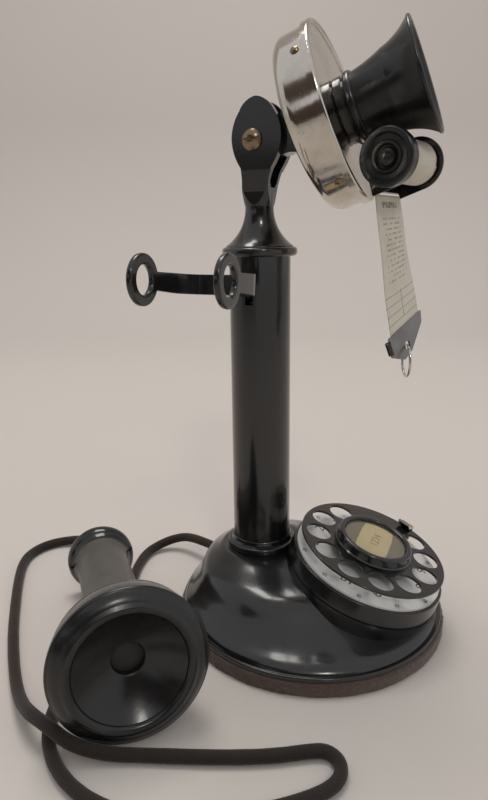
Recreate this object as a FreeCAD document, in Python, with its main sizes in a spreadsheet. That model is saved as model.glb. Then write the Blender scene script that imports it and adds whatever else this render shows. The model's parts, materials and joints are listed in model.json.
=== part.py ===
"""Candlestick dial telephone, modelled as separate pieces in millimetres.

Frame: Z up, the table is z = 0, the column's axis is x = y = 0, the dial and the
mouthpiece face -Y and the receiver hook stands out towards -X.
"""
import FreeCAD
import Part
import Sketcher
import math
import os

from FreeCAD import Placement, Rotation, Vector

X_AXIS = Vector(1, 0, 0)
Y_AXIS = Vector(0, 1, 0)
Z_AXIS = Vector(0, 0, 1)
TURN = 360.0

doc = FreeCAD.newDocument("telephone")
sheet = doc.addObject("Spreadsheet::Sheet", "Sizes")


class Size:
    """A named size or an expression of them: text for the sheet's formulas, value in mm."""

    def __init__(self, text, value):
        self.text = text
        self.value = value

    def __add__(self, other):
        return joined(self, "+", other, self.value + number(other))

    def __radd__(self, other):
        return joined(other, "+", self, number(other) + self.value)

    def __sub__(self, other):
        return joined(self, "-", other, self.value - number(other))

    def __rsub__(self, other):
        return joined(other, "-", self, number(other) - self.value)

    def __mul__(self, other):
        return joined(self, "*", other, self.value * number(other))

    def __rmul__(self, other):
        return joined(other, "*", self, number(other) * self.value)

    def __truediv__(self, other):
        return joined(self, "/", other, self.value / number(other))

    def __neg__(self):
        return joined(0, "-", self, -self.value)


def number(size):
    """The value of a size, or a plain number itself."""
    return size.value if isinstance(size, Size) else float(size)


def written(size):
    """The formula text of a size or a plain number."""
    return size.text if isinstance(size, Size) else repr(float(size))


def joined(left, sign, right, value):
    """Two sizes joined by a sign."""
    return Size(f"({written(left)} {sign} {written(right)})", value)


class Sizes:
    """The driving dimensions, each in one cell of the sheet under its own alias."""

    rows = 0

    def add(self, **named):
        for alias, value in named.items():
            Sizes.rows += 1
            sheet.set(f"A{Sizes.rows}", alias)
            sheet.set(f"B{Sizes.rows}", str(value))
            sheet.setAlias(f"B{Sizes.rows}", alias)
            setattr(self, alias, Size(f"Sizes.{alias}", float(value)))


s = Sizes()

# Fits and general clearances
s.add(gap=0.3, running_fit=0.05, snug=0.1)
# Felt, bottom plate and base shell
s.add(base_offset=27.9, felt_radius=70.2, felt_height=6.6, rim_radius=68.9, rim_height=2.2)
s.add(shell_wall=2.5, plate_thickness=1.4)
# Dome of the base: radius at each height over the table
s.add(dome_foot_radius=67.4, dome_edge_radius=65.9, dome_edge_height=11.0)
s.add(dome_low_radius=61.8, dome_low_height=13.2, dome_slope_radius=56.4, dome_slope_height=16.4)
s.add(dome_mid_radius=51.2, dome_mid_height=20.5, dome_high_radius=46.0, dome_high_height=26.0)
s.add(shoulder_radius=38.5, shoulder_height=30.0, crown_radius=28.5, crown_height=33.0)
s.add(base_top_radius=19.0, base_top_height=34.3)
# Column, foot ring and switch inside
s.add(column_radius=15.25, column_wall=1.4, column_foot_height=27.0, column_top_height=193.0)
s.add(foot_ring_radius=18.4, foot_ring_tall=6.6)
s.add(slot_width=4.0, slot_low=166.4, slot_high=181.5)
s.add(frame_width=14.0, frame_thickness=1.6, frame_low=96.0, frame_high=186.0, frame_back=7.5)
s.add(leaf_width=5.0, leaf_thickness=0.5, leaf_length=58.0, leaf_pitch=3.0)
# Hook: lever, fork and rings
s.add(hook_height=173.0, hook_pivot=4.0, hook_rise=7.4, hook_thickness=2.7, hook_depth=8.6)
s.add(fork_reach=44.0, fork_half_gap=16.9, fork_corner=12.0, ring_reach=77.0)
s.add(ring_radius=10.4, ring_hole=5.9, hook_tail=8.6, pin_radius=1.6, spring_radius=2.4)
s.add(spring_wire=0.6, spring_low=150.0, spring_turns=7)
# Collar, neck and yoke
s.add(collar_radius=18.6, collar_low=189.3, collar_bead=4.4, neck_radius=6.9, neck_height=212.5)
s.add(yoke_root=219.0, yoke_gap=10.0, ear_thickness=4.1)
s.add(pivot_height=242.3, pivot_radius=2.4, screw_head_radius=4.9, screw_head_tall=3.1)
s.add(nut_radius=4.6, nut_tall=3.2, washer_tall=0.4)
# Transmitter
s.add(face_distance=41.4, face_drop=4.1, cup_radius=39.4, cup_wall=1.2, cup_depth=17.2)
s.add(cup_corner=5.0, face_radius=40.6, face_thickness=1.2, bead_radius=1.4, face_skirt=2.6)
s.add(throat_radius=10.7, lug_width=9.0, lug_radius=9.6)
s.add(wall_screw_radius=1.9, wall_screw_axial=5.6, bridge_width=9.0, bridge_thickness=2.0)
s.add(button_radius=11.0, button_depth=7.0, diaphragm_radius=34.0, diaphragm_thickness=0.5)
# Mouthpiece
s.add(mouth_length=37.8, mouth_radius=24.7, mouth_neck_radius=12.9, mouth_neck_length=5.2)
s.add(mouth_bead_radius=15.4, mouth_bead_width=2.6, mouth_waist=14.3, mouth_wall=2.2)
s.add(mouth_mid_radius=17.6, mouth_mid_length=23.0, mouth_thread=3.6)
# Directory roll under the mouthpiece
s.add(roll_x=1.5, roll_y=68.5, roll_height=230.2, case_inner=29.0, case_wall=1.0)
s.add(case_radius=11.8, case_corner_back=7.9, case_corner_drop=15.2, roll_radius=9.9)
s.add(knob_radius=12.2, knob_tall=5.4, knob_gap=0.6, spindle_radius=1.5)
s.add(clamp_width=3.4, clamp_wall=1.6, arm_width=9.0, arm_thickness=1.4)
s.add(strip_width=27.0, strip_thickness=0.5, strip_start=14.2)
s.add(strip_back=7.6, tab_thickness=1.0, tab_hole=2.2, pull_ring_radius=7.4)
s.add(pull_ring_wire=0.65)
# Dial
s.add(wheel_y=61.0, wheel_height=42.46, wheel_radius=37.8, wheel_thickness=1.2)
s.add(wheel_hole_circle=28.8, wheel_hole_radius=6.5, card_ring_radius=20.2, card_ring_inner=16.4)
s.add(card_ring_tall=6.0, plate_drop=6.5, number_radius=38.0, number_thickness=1.2)
s.add(dial_cup_radius=40.0, dial_cup_top_radius=39.6, dial_cup_drop=16.5)
s.add(dial_frame_radius=33.0, dial_frame_thickness=2.0, dial_frame_drop=13.0)
s.add(shaft_radius=2.5, gear_radius=15.0, gear_thickness=1.4, gear_drop=17.5)
s.add(pinion_radius=4.0, governor_radius=6.5, governor_tall=6.0)
# Receiver and its cord
s.add(cap_radius=33.0, cap_back=12.5, cap_ridge=25.4, ear_hole=6.9)
s.add(receiver_length=118.0, tail_radius=18.5, tail_flange=5.0, tube_radius=13.8)
s.add(tube_wall=1.6, receiver_x=112.4, receiver_y=13.6)
s.add(cord_diameter=5.4)

HOLE_ANGLES = [50.0 + 30.0 * k for k in range(10)]
TRANSMITTER_TILT = 19.0
DIAL_TILT = 17.46
ROLL_YAW = 14.0
CORD_INLET_ANGLE = 18.0
LINE_INLET_ANGLE = 62.0
RECEIVER_YAW = 221.5

doc.recompute()


def bind(thing, prop, size):
    """Sets a property to a size and ties it to the sheet by its formula."""
    if isinstance(size, Size):
        thing.setExpression(prop, size.text)
    else:
        setattr(thing, prop, size)


def add_body(name, place=Placement()):
    """An empty solid body with its own label and place."""
    body = doc.addObject("PartDesign::Body", name)
    body.Label = name
    body.Placement = place
    return body


def add_sketch(body, role="XZ_Plane", lift=0.0):
    """A sketch on one of the body's own origin planes, lifted along the plane's normal."""
    plane = [item for item in body.Origin.OriginFeatures if item.Role == role][0]
    sketch = body.newObject("Sketcher::SketchObject", f"{body.Name}_sketch")
    sketch.AttachmentSupport = [(plane, "")]
    sketch.MapMode = "FlatFace"
    sketch.AttachmentOffset = Placement(Vector(0, 0, number(lift)), Rotation())
    if isinstance(lift, Size):
        sketch.setExpression("AttachmentOffset.Base.z", lift.text)
    return sketch


def pin_point(sketch, edge, end, x, y):
    """Holds one end of an edge at x, y from the sketch's origin."""
    for kind, size in (("DistanceX", x), ("DistanceY", y)):
        row = sketch.addConstraint(Sketcher.Constraint(kind, -1, 1, edge, end, number(size)))
        if isinstance(size, Size):
            sketch.setExpression(f"Constraints[{row}]", size.text)


def bulged(start, end, radius):
    """Middle point of an arc from start to end, to the right of the way for a positive radius."""
    way = end - start
    half = way.Length / 2
    rise = abs(radius) - math.sqrt(max(radius * radius - half * half, 0.0))
    right = Vector(way.y, -way.x, 0).normalize()
    return start + way * 0.5 + right * math.copysign(rise, radius)


def outline(sketch, corners):
    """A closed outline: corners (x, y), or (x, y, radius) where an arc arrives at the corner."""
    points = [Vector(number(c[0]), number(c[1]), 0) for c in corners]
    for k, corner in enumerate(corners):
        start = points[k - 1]
        end = points[k]
        if len(corner) == 3:
            middle = bulged(start, end, number(corner[2]))
            edge = sketch.addGeometry(Part.Arc(start, middle, end))
            radius = Sketcher.Constraint("Radius", edge, abs(number(corner[2])))
            row = sketch.addConstraint(radius)
            if isinstance(corner[2], Size):
                sign = "-" if number(corner[2]) < 0 else ""
                sketch.setExpression(f"Constraints[{row}]", sign + corner[2].text)
            first = sketch.getPoint(edge, 1)
            ends = (1, 2) if (first - start).Length < (first - end).Length else (2, 1)
        else:
            edge = sketch.addGeometry(Part.LineSegment(start, end))
            ends = (1, 2)
        previous = corners[k - 1]
        pin_point(sketch, edge, ends[0], previous[0], previous[1])
        pin_point(sketch, edge, ends[1], corner[0], corner[1])
    return sketch


def circle(sketch, x, y, radius):
    """A circle held by its centre and radius."""
    disc = Part.Circle(Vector(number(x), number(y), 0), Z_AXIS, number(radius))
    edge = sketch.addGeometry(disc)
    pin_point(sketch, edge, 3, x, y)
    row = sketch.addConstraint(Sketcher.Constraint("Radius", edge, number(radius)))
    if isinstance(radius, Size):
        sketch.setExpression(f"Constraints[{row}]", radius.text)
    return sketch


def pad(body, sketch, length, symmetric=False, cut=False, reverse=False):
    """Pads a sketch by a length, or pockets it."""
    kind = "PartDesign::Pocket" if cut else "PartDesign::Pad"
    feature = body.newObject(kind, f"{body.Name}_{'pocket' if cut else 'pad'}")
    feature.Profile = sketch
    feature.Length = number(length)
    bind(feature, "Length", length)
    feature.SideType = "Symmetric" if symmetric else "One side"
    feature.Reversed = reverse
    return feature


def revolve(body, sketch, cut=False):
    """Turns a sketch about its own vertical axis, or grooves with it."""
    kind = "PartDesign::Groove" if cut else "PartDesign::Revolution"
    feature = body.newObject(kind, f"{body.Name}_{'groove' if cut else 'turned'}")
    feature.Profile = sketch
    feature.ReferenceAxis = (sketch, ["V_Axis"])
    feature.Angle = TURN
    return feature


def turned(name, corners, place=Placement()):
    """A body turned about its local Z from an outline of (radius, height) corners."""
    body = add_body(name, place)
    revolve(body, outline(add_sketch(body), corners))
    return body


def ring_outline(inner, outer, low, high):
    """A plain ring's section."""
    return [(inner, low), (outer, low), (outer, high), (inner, high)]


def polar_holes(body, radius, distance, count, low, tall):
    """Round holes on a circle about local Z, by a polar pattern of one pocket."""
    sketch = add_sketch(body, "XY_Plane", low)
    circle(sketch, distance, 0, radius)
    hole = pad(body, sketch, tall, cut=True, reverse=True)
    pattern = body.newObject("PartDesign::PolarPattern", f"{body.Name}_holes")
    pattern.Originals = [hole]
    axis = [item for item in body.Origin.OriginFeatures if item.Role == "Z_Axis"][0]
    pattern.Axis = (axis, [""])
    pattern.Occurrences = count
    pattern.Angle = TURN
    body.Tip = pattern
    return pattern


def cylinder(name, radius, tall, place=Placement()):
    """A plain cylinder from its place along its local Z."""
    item = doc.addObject("Part::Cylinder", name)
    item.Label = name
    bind(item, "Radius", radius)
    bind(item, "Height", tall)
    item.Placement = place
    return item


def block(name, long, wide, tall, place=Placement()):
    """A box with its corner at its place."""
    item = doc.addObject("Part::Box", name)
    item.Label = name
    bind(item, "Length", long)
    bind(item, "Width", wide)
    bind(item, "Height", tall)
    item.Placement = place
    return item


def joined_solids(name, pieces, kind="Part::Compound"):
    """Several solids in one node: a group of separate ones, or one fused solid."""
    group = doc.addObject(kind, name)
    group.Label = name
    if kind == "Part::Compound":
        group.Links = pieces
    else:
        group.Shapes = pieces
    return group


def cut_away(name, base, tool):
    """A solid with another one cut out of it."""
    item = doc.addObject("Part::Cut", name)
    item.Label = name
    item.Base = base
    item.Tool = tool
    return item


def shaped(name, shape, place=Placement()):
    """A solid made from its own geometry, for swept and freely lofted pieces."""
    item = doc.addObject("Part::Feature", name)
    item.Label = name
    item.Shape = shape
    item.Placement = place
    return item


def moved(x=0.0, y=0.0, z=0.0, axis=Z_AXIS, angle=0.0):
    """A place from a shift and a turn."""
    return Placement(Vector(number(x), number(y), number(z)), Rotation(axis, angle))


# Places that many pieces share
base_place = moved(y=-s.base_offset)
head_place = moved(z=s.pivot_height, axis=X_AXIS, angle=90.0 - TRANSMITTER_TILT)
face_place = head_place * moved(y=-s.face_drop, z=s.face_distance)
dial_place = moved(y=-s.wheel_y, z=s.wheel_height, axis=X_AXIS, angle=DIAL_TILT)
roll_place = moved(s.roll_x, -s.roll_y, s.roll_height, Z_AXIS, -ROLL_YAW)
hook_place = moved(x=-s.hook_pivot, z=s.hook_height, axis=Y_AXIS, angle=s.hook_rise.value)

receiver_tilt = math.atan((s.cap_radius.value - s.tail_radius.value) / s.receiver_length.value)
receiver_axis = Vector(
    math.cos(math.radians(RECEIVER_YAW)) * math.cos(receiver_tilt),
    math.sin(math.radians(RECEIVER_YAW)) * math.cos(receiver_tilt),
    math.sin(receiver_tilt),
)
receiver_rest = s.cap_radius.value * math.cos(receiver_tilt)
receiver_place = Placement(
    Vector(-s.receiver_x.value, s.receiver_y.value, receiver_rest),
    Rotation(Z_AXIS, receiver_axis),
)


def felt_and_plate():
    """Felt cup around the foot, the sheet bottom plate in it and its screws."""
    edge = 1.2
    outer = s.felt_radius
    floor = 1.8
    band = s.felt_radius - 4.4
    turned("base_felt", [
        (0, 0), (outer - edge, 0), (outer, edge, edge), (outer, s.felt_height - edge),
        (outer - edge, s.felt_height, edge), (band, s.felt_height), (band, floor), (0, floor),
    ], base_place)
    low = 1.9
    radius = s.rim_radius - 3.4
    plate = turned("bottom_plate", [
        (0, low), (radius, low), (radius, low + s.plate_thickness), (0, low + s.plate_thickness),
    ], base_place)
    count = 6
    reach = number(radius) - 2.2
    polar_holes(plate, 1.7, reach, count, low - 1, s.plate_thickness + 2)
    screws = []
    for k in range(count):
        angle = math.radians(TURN / count * k)
        at = base_place * moved(reach * math.cos(angle), reach * math.sin(angle), low)
        screws.append(cylinder(f"plate_screw_{k + 1}", 1.6, 7.0, at))
    joined_solids("bottom_plate_screws", screws)


def dome_sections(body, pairs, radial, drop):
    """Round sections of the dome, each centred nearer the column as it gets smaller."""
    sketches = []
    spread = s.rim_radius - s.base_top_radius
    for radius, height in pairs:
        section = add_sketch(body, "XY_Plane", height - drop)
        centre = s.base_offset * (s.rim_radius - radius) / spread
        circle(section, 0, centre, radius - radial)
        sketches.append(section)
    return sketches


def base_shell():
    """Cast foot: a leaning dome with a rim, a tilted seat for the dial and a crown."""
    body = add_body("base_shell", base_place)
    low = 3.5
    skirt = s.rim_radius - 3.4
    band_low = s.felt_height + 0.2
    band_top = band_low + s.rim_height
    soft = 0.6
    revolve(body, outline(add_sketch(body), [
        (0, low), (skirt, low), (skirt, band_low), (s.rim_radius - soft, band_low),
        (s.rim_radius, band_low + soft, soft), (s.rim_radius, band_top - soft),
        (s.rim_radius - soft, band_top, soft), (0, band_top),
    ]))
    pairs = [
        (s.dome_foot_radius, band_top), (s.dome_edge_radius, s.dome_edge_height),
        (s.dome_low_radius, s.dome_low_height), (s.dome_slope_radius, s.dome_slope_height),
        (s.dome_mid_radius, s.dome_mid_height), (s.dome_high_radius, s.dome_high_height),
        (s.shoulder_radius, s.shoulder_height), (s.crown_radius, s.crown_height),
        (s.base_top_radius + 1.5, s.base_top_height),
    ]
    sections = dome_sections(body, pairs, 0, 0)
    dome = body.newObject("PartDesign::AdditiveLoft", "dome")
    dome.Profile = sections[0]
    dome.Sections = sections[1:]
    # Seat for the dial: a tilted drum grown out of the front of the dome
    seat = base_place.inverse() * dial_place * moved(z=-s.dial_cup_drop - 0.2)
    drum = add_sketch(body, "XY_Plane")
    drum.AttachmentOffset = seat
    circle(drum, 0, 0, s.dial_cup_radius)
    pad(body, drum, 46.0, reverse=True)
    trim = add_sketch(body, "XY_Plane", band_low)
    circle(trim, 0, 0, skirt)
    circle(trim, 0, 0, 2 * s.rim_radius)
    pad(body, trim, 60.0, cut=True)
    under = add_sketch(body, "XY_Plane", low)
    circle(under, 0, 0, 2 * s.rim_radius)
    pad(body, under, 60.0, cut=True)
    # Hollow inside
    foot = add_sketch(body, "XY_Plane", low)
    circle(foot, 0, 0, skirt - 8.0)
    pad(body, foot, 8.0, cut=True, reverse=True)
    inner = dome_sections(body, pairs[2:], s.shell_wall - 0.3, s.shell_wall - 0.6)
    hollow = body.newObject("PartDesign::SubtractiveLoft", "hollow")
    hollow.Profile = inner[0]
    hollow.Sections = inner[1:]
    over_seat = 5.0
    under_seat = 23.0
    bore = add_sketch(body, "XY_Plane")
    bore.AttachmentOffset = seat * moved(z=over_seat)
    circle(bore, 0, 0, s.dial_cup_radius - s.shell_wall)
    pad(body, bore, over_seat + under_seat, cut=True)
    # Column hole and the relief for the ring at the column's foot
    column = add_sketch(body, "XY_Plane", s.column_foot_height)
    circle(column, 0, s.base_offset, s.column_radius + s.running_fit)
    pad(body, column, 20.0, cut=True, reverse=True)
    relief = add_sketch(body, "XY_Plane", s.base_top_height)
    circle(relief, 0, s.base_offset, s.foot_ring_radius + s.gap)
    pad(body, relief, s.foot_ring_tall + s.gap, cut=True, reverse=True)
    for turn in (CORD_INLET_ANGLE, LINE_INLET_ANGLE):
        hole = add_sketch(body, "XY_Plane")
        hole.AttachmentOffset = cord_inlet(turn, 50.0)
        circle(hole, 0, 0, inlet_radius)
        pad(body, hole, 30.0, cut=True, reverse=True)
    return body


inlet_radius = 3.6
inlet_height = 11.4
inlet_reach = s.rim_radius.value + 0.3


def cord_inlet(turn, reach):
    """Place on the radial line of a rear inlet, local Z outwards, in the base's own frame."""
    angle = math.radians(turn)
    out = Vector(math.sin(angle), math.cos(angle), 0)
    return Placement(out * reach + Vector(0, 0, inlet_height), Rotation(Z_AXIS, out))


def inlet_bushings():
    """Flanged bushings of the receiver cord's inlet and of the unused line inlet."""
    flange = inlet_radius + 0.8
    for name, turn in (("cord_bushing", CORD_INLET_ANGLE), ("line_inlet_bushing", LINE_INLET_ANGLE)):
        place = base_place * cord_inlet(turn, inlet_reach)
        if name == "cord_bushing":
            corners = [(0, -11), (inlet_radius, -11), (inlet_radius, 0), (flange, 0),
                       (flange, 0.8), (flange - 0.7, 1.5, 0.7), (0, 1.5)]
        else:
            corners = [(2.0, -11), (inlet_radius, -11), (inlet_radius, 0), (flange, 0),
                       (flange, 0.8), (flange - 0.7, 1.5, 0.7), (2.0, 1.5)]
        turned(name, corners, place)


def terminals():
    """Terminal block on the bottom plate with six screws in two rows."""
    floor = 3.4
    long = 40.0
    wide = 15.0
    tall = 7.0
    base = block("block_solid", long, wide, tall, moved(-long / 2, 6.0, floor))
    step = block("block_step", long - 8, wide - 9, 2.2, moved(-long / 2 + 4, 10.5, floor + tall))
    joined_solids("terminal_block", [base, step], "Part::MultiFuse")
    screws = []
    for row in (8.2, 18.8):
        for k in range(4):
            at = moved(-15.0 + 10.0 * k, row, floor + tall)
            screws.append(cylinder(f"terminal_screw_{len(screws) + 1}", 1.9, 1.6, at))
    joined_solids("terminal_screws", screws)


def column():
    """Tube of the column with the slot for the hook, and the ring at its foot."""
    tube = turned("column_tube", ring_outline(
        s.column_radius - s.column_wall, s.column_radius, s.column_foot_height, s.column_top_height))
    slot = add_sketch(tube, "YZ_Plane")
    half = s.slot_width / 2
    outline(slot, [(-half, s.slot_low), (half, s.slot_low), (half, s.slot_high), (-half, s.slot_high)])
    pad(tube, slot, 20.0, cut=True)
    low = s.base_top_height
    top = low + s.foot_ring_tall
    inner = s.column_radius + s.running_fit
    outer = s.foot_ring_radius
    turned("foot_ring", [
        (inner, low), (outer - 0.6, low), (outer, low + 0.6, 0.6), (outer, low + 2.6),
        (outer - 1.0, low + 3.6, 1.0), (inner + 1.4, low + 3.8), (inner + 0.7, top - 0.4, -5.0),
        (inner + 0.4, top, 1.2), (inner, top),
    ])
    screws = []
    for k in range(3):
        place = moved(z=s.column_foot_height + 2.4, angle=60.0 + 120.0 * k)
        place = place * moved(x=s.column_radius - s.column_wall - 1.4, axis=Y_AXIS, angle=90)
        screws.append(cylinder(f"foot_screw_{k + 1}", 1.3, 5.0, place))
    joined_solids("column_foot_screws", screws)


def switch():
    """Frame inside the column, the hook's contact springs with their insulators, pin and spring."""
    low = s.frame_low
    tall = s.frame_high - s.frame_low
    half = s.frame_width / 2
    wall = s.frame_thickness
    back = s.frame_back
    frame = add_body("frame_channel")
    channel = add_sketch(frame, "XY_Plane", low)
    outline(channel, [(-back, -half), (back, -half), (back, half), (-back, half),
                      (-back, half - wall), (back - wall, half - wall),
                      (back - wall, wall - half), (-back, wall - half)])
    pad(frame, channel, tall)
    hole = add_sketch(frame, "XZ_Plane")
    circle(hole, -s.hook_pivot, s.hook_height, s.pin_radius)
    drill = pad(frame, hole, 40.0, symmetric=True, cut=True)
    frame.Tip = drill
    # Foot and head that hold the frame against the inside of the tube
    for lift in (low, s.frame_high - 3.0):
        foot = add_sketch(frame, "XY_Plane", lift)
        circle(foot, 0, 0, s.column_radius - s.column_wall)
        circle(foot, 0, 0, s.column_radius - s.column_wall - 5.0)
        pad(frame, foot, 3.0)
    seat = block("frame_seat", 6.4, s.frame_width - 2 * wall, 1.4,
                 moved(spring_x - 2.0, wall - half, s.spring_low - 1.4))
    joined_solids("switch_frame", [frame, seat], "Part::MultiFuse")
    cylinder("hook_pin", s.pin_radius, s.frame_width + 2.0,
             moved(-s.hook_pivot, s.frame_width / 2 + 1.0, s.hook_height, X_AXIS, 90.0))
    leaves = []
    rises = []
    first = -5.0
    for k in range(4):
        x = first + k * s.leaf_pitch
        lift = low + 6.0
        tall = s.leaf_length - 6.0 * k
        leaves.append(block(f"leaf_{k + 1}", s.leaf_thickness, s.leaf_width, tall,
                            moved(x, -s.leaf_width / 2, lift)))
        if k < 3:
            rises.append(block(f"spacer_{k + 1}", s.leaf_pitch - s.leaf_thickness,
                               s.leaf_width + 2.0, 12.0,
                               moved(x + s.leaf_thickness, -s.leaf_width / 2 - 1.0, lift)))
    joined_solids("contact_springs", leaves)
    joined_solids("contact_insulators", rises)


spring_x = -s.hook_pivot.value - 5.4
spring_top = 169.0


def hook_spring():
    """Coil spring standing on a seat under the lever, wound as one swept round wire."""
    low = s.spring_low.value
    tall = spring_top - low
    turns = s.spring_turns.value
    radius = s.spring_radius.value
    wire = s.spring_wire.value / 2
    coil = Part.makeHelix((tall - 2 * wire) / turns, tall - 2 * wire, radius)
    section = Part.Wire(Part.makeCircle(wire, Vector(radius, 0, 0), Y_AXIS))
    solid = Part.Wire(coil.Edges).makePipeShell([section], True, True)
    shaped("hook_spring", solid, moved(x=spring_x, z=low + wire))


def hook():
    """Lever and fork of forged strip, with a flat rounded ring on each tine."""
    half = s.hook_thickness / 2
    gap = s.fork_half_gap + half
    corner = s.fork_corner
    bend = corner - s.hook_thickness
    cross = -s.fork_reach
    tip = -s.ring_reach
    root = s.hook_depth
    slim = 3.1
    lever = add_body("lever_solid", hook_place)
    side = add_sketch(lever, "XZ_Plane")
    outline(side, [
        (s.hook_tail, -2.6), (s.hook_tail, 2.2), (4.5, 4.2), (-4.3, 4.2),
        (cross, root / 2), (cross, -root / 2), (-12.0, -root / 2), (-3.0, -4.4), (4.0, -3.6),
    ])
    pad(lever, side, s.hook_thickness, symmetric=True)
    eye = add_sketch(lever, "XZ_Plane")
    circle(eye, 0, 0, s.pin_radius + s.running_fit)
    pad(lever, eye, 20.0, symmetric=True, cut=True)
    fork = add_body("fork_solid", hook_place)
    plan = add_sketch(fork, "XY_Plane", -root / 2)
    left = cross - half
    right = cross + half
    side_out = gap + half
    side_in = gap - half
    outline(plan, [
        (right, side_out - corner, -corner), (right, corner - side_out),
        (right - corner, -side_out, -corner), (tip + 8.0, -side_out), (tip + 8.0, -side_in),
        (left - bend, -side_in), (left, bend - side_in, bend), (left, side_in - bend),
        (left - bend, side_in, bend), (tip + 8.0, side_in), (tip + 8.0, side_out),
        (right - corner, side_out),
    ])
    pad(fork, plan, root)
    for sign in (1, -1):
        taper = add_sketch(fork, "XZ_Plane")
        outline(taper, [
            (cross - 8.0, sign * root / 2), (tip - 12.0, sign * slim),
            (tip - 12.0, sign * root), (cross - 8.0, sign * root),
        ])
        pad(fork, taper, 80.0, symmetric=True, cut=True)
    inner = s.ring_hole
    outer = s.ring_radius
    soft = 1.0
    rings = []
    for sign in (-1, 1):
        place = hook_place * moved(tip, sign * number(gap), 0, X_AXIS, 90.0)
        rings.append(turned(f"ring_solid_{len(rings) + 1}", [
            (inner, half - soft, soft), (inner, soft - half), (inner + soft, -half, soft),
            (outer - soft, -half), (outer, soft - half, soft), (outer, half - soft),
            (outer - soft, half, soft), (inner + soft, half),
        ], place))
    joined_solids("hook_lever", [lever, fork] + rings, "Part::MultiFuse")


def collar():
    """Bell collar, slender neck and the two ears of the yoke, in one casting."""
    body = add_body("collar_yoke")
    low = s.collar_low
    bore = s.column_radius + s.running_fit
    outer = s.collar_radius
    soft = 1.7
    revolve(body, outline(add_sketch(body), [
        (bore, low), (outer - soft, low), (outer, low + soft, soft),
        (outer, low + s.collar_bead - soft), (outer - soft, low + s.collar_bead, soft),
        (16.6, low + s.collar_bead + 0.6), (s.neck_radius, s.neck_height, -22.0),
        (s.neck_radius, s.yoke_root), (0, s.yoke_root), (0, 198.0), (8.0, 198.0),
        (12.0, s.column_top_height + s.gap), (bore, s.column_top_height + s.gap),
    ]))
    ears = add_sketch(body, "YZ_Plane")
    outline(ears, [
        (-6.7, 213.0), (6.7, 213.0), (6.5, 219.0, -18.0), (5.9, 230.0, -30.0),
        (10.3, 243.0, 24.0), (6.2, 255.0, 21.0), (-2.0, 261.0, 10.5), (-10.4, 255.0, 11.5),
        (-14.2, 243.0, 20.0), (-9.4, 230.0, 26.0), (-6.8, 219.0, -26.0),
    ])
    pad(body, ears, s.yoke_gap + 2 * s.ear_thickness, symmetric=True)
    gap = add_sketch(body, "XZ_Plane")
    half = s.yoke_gap / 2
    outline(gap, [
        (half, 224.0), (half, 270.0), (-half, 270.0), (-half, 224.0), (-2.6, 221.4), (2.6, 221.4),
    ])
    pad(body, gap, 60.0, symmetric=True, cut=True)
    shoulders = add_sketch(body, "XZ_Plane")
    wide = half + s.ear_thickness
    for side in (1, -1):
        outline(shoulders, [
            (side * (s.neck_radius + s.gap), 212.0), (side * (wide + 3), 212.0),
            (side * (wide + 3), 229.0), (side * wide, 229.0), (side * (s.neck_radius + s.gap), 219.5),
        ])
    pad(body, shoulders, 60.0, symmetric=True, cut=True)
    round_off = add_sketch(body)
    outline(round_off, [(s.neck_radius + 0.1, 212.8), (24.0, 212.8), (24.0, 229.0), (11.9, 229.0)])
    revolve(body, round_off, cut=True)
    hole = add_sketch(body, "YZ_Plane")
    circle(hole, 0, s.pivot_height, s.pivot_radius + s.running_fit)
    pad(body, hole, 60.0, symmetric=True, cut=True)


def pivot():
    """Round-headed slotted pivot screw through the yoke with washer and nut."""
    reach = s.yoke_gap / 2 + s.ear_thickness
    near = moved(z=s.pivot_height, axis=Y_AXIS, angle=-90.0)
    head = s.screw_head_radius
    tall = s.screw_head_tall
    screw = turned("pivot_screw", [
        (0, -reach - 5.6), (s.pivot_radius, -reach - 5.6), (s.pivot_radius, reach), (head, reach),
        (head, reach + 0.9), (0.5, reach + tall, 6.2), (0, reach + tall),
    ], near)
    slot = add_sketch(screw, "XZ_Plane")
    deep = reach + tall - 1.3
    outline(slot, [(-0.5, deep), (0.5, deep), (0.5, deep + 4.0), (-0.5, deep + 4.0)])
    pad(screw, slot, 4 * head, symmetric=True, cut=True)
    washer = turned("pivot_washer", ring_outline(
        s.pivot_radius + s.running_fit, s.nut_radius + 1.0, -reach - s.washer_tall, -reach), near)
    nut = add_body("nut_solid", near)
    across = s.nut_radius
    flat = add_sketch(nut, "XY_Plane", -reach - s.washer_tall)
    outline(flat, [
        (across * math.cos(math.radians(60.0 * k)), across * math.sin(math.radians(60.0 * k)))
        for k in range(6)
    ])
    pad(nut, flat, s.nut_tall, reverse=True)
    hole = add_sketch(nut, "XY_Plane", -reach)
    circle(hole, 0, 0, s.pivot_radius + s.running_fit)
    pad(nut, hole, 20.0, cut=True)
    joined_solids("pivot_nut", [washer, nut])


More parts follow.
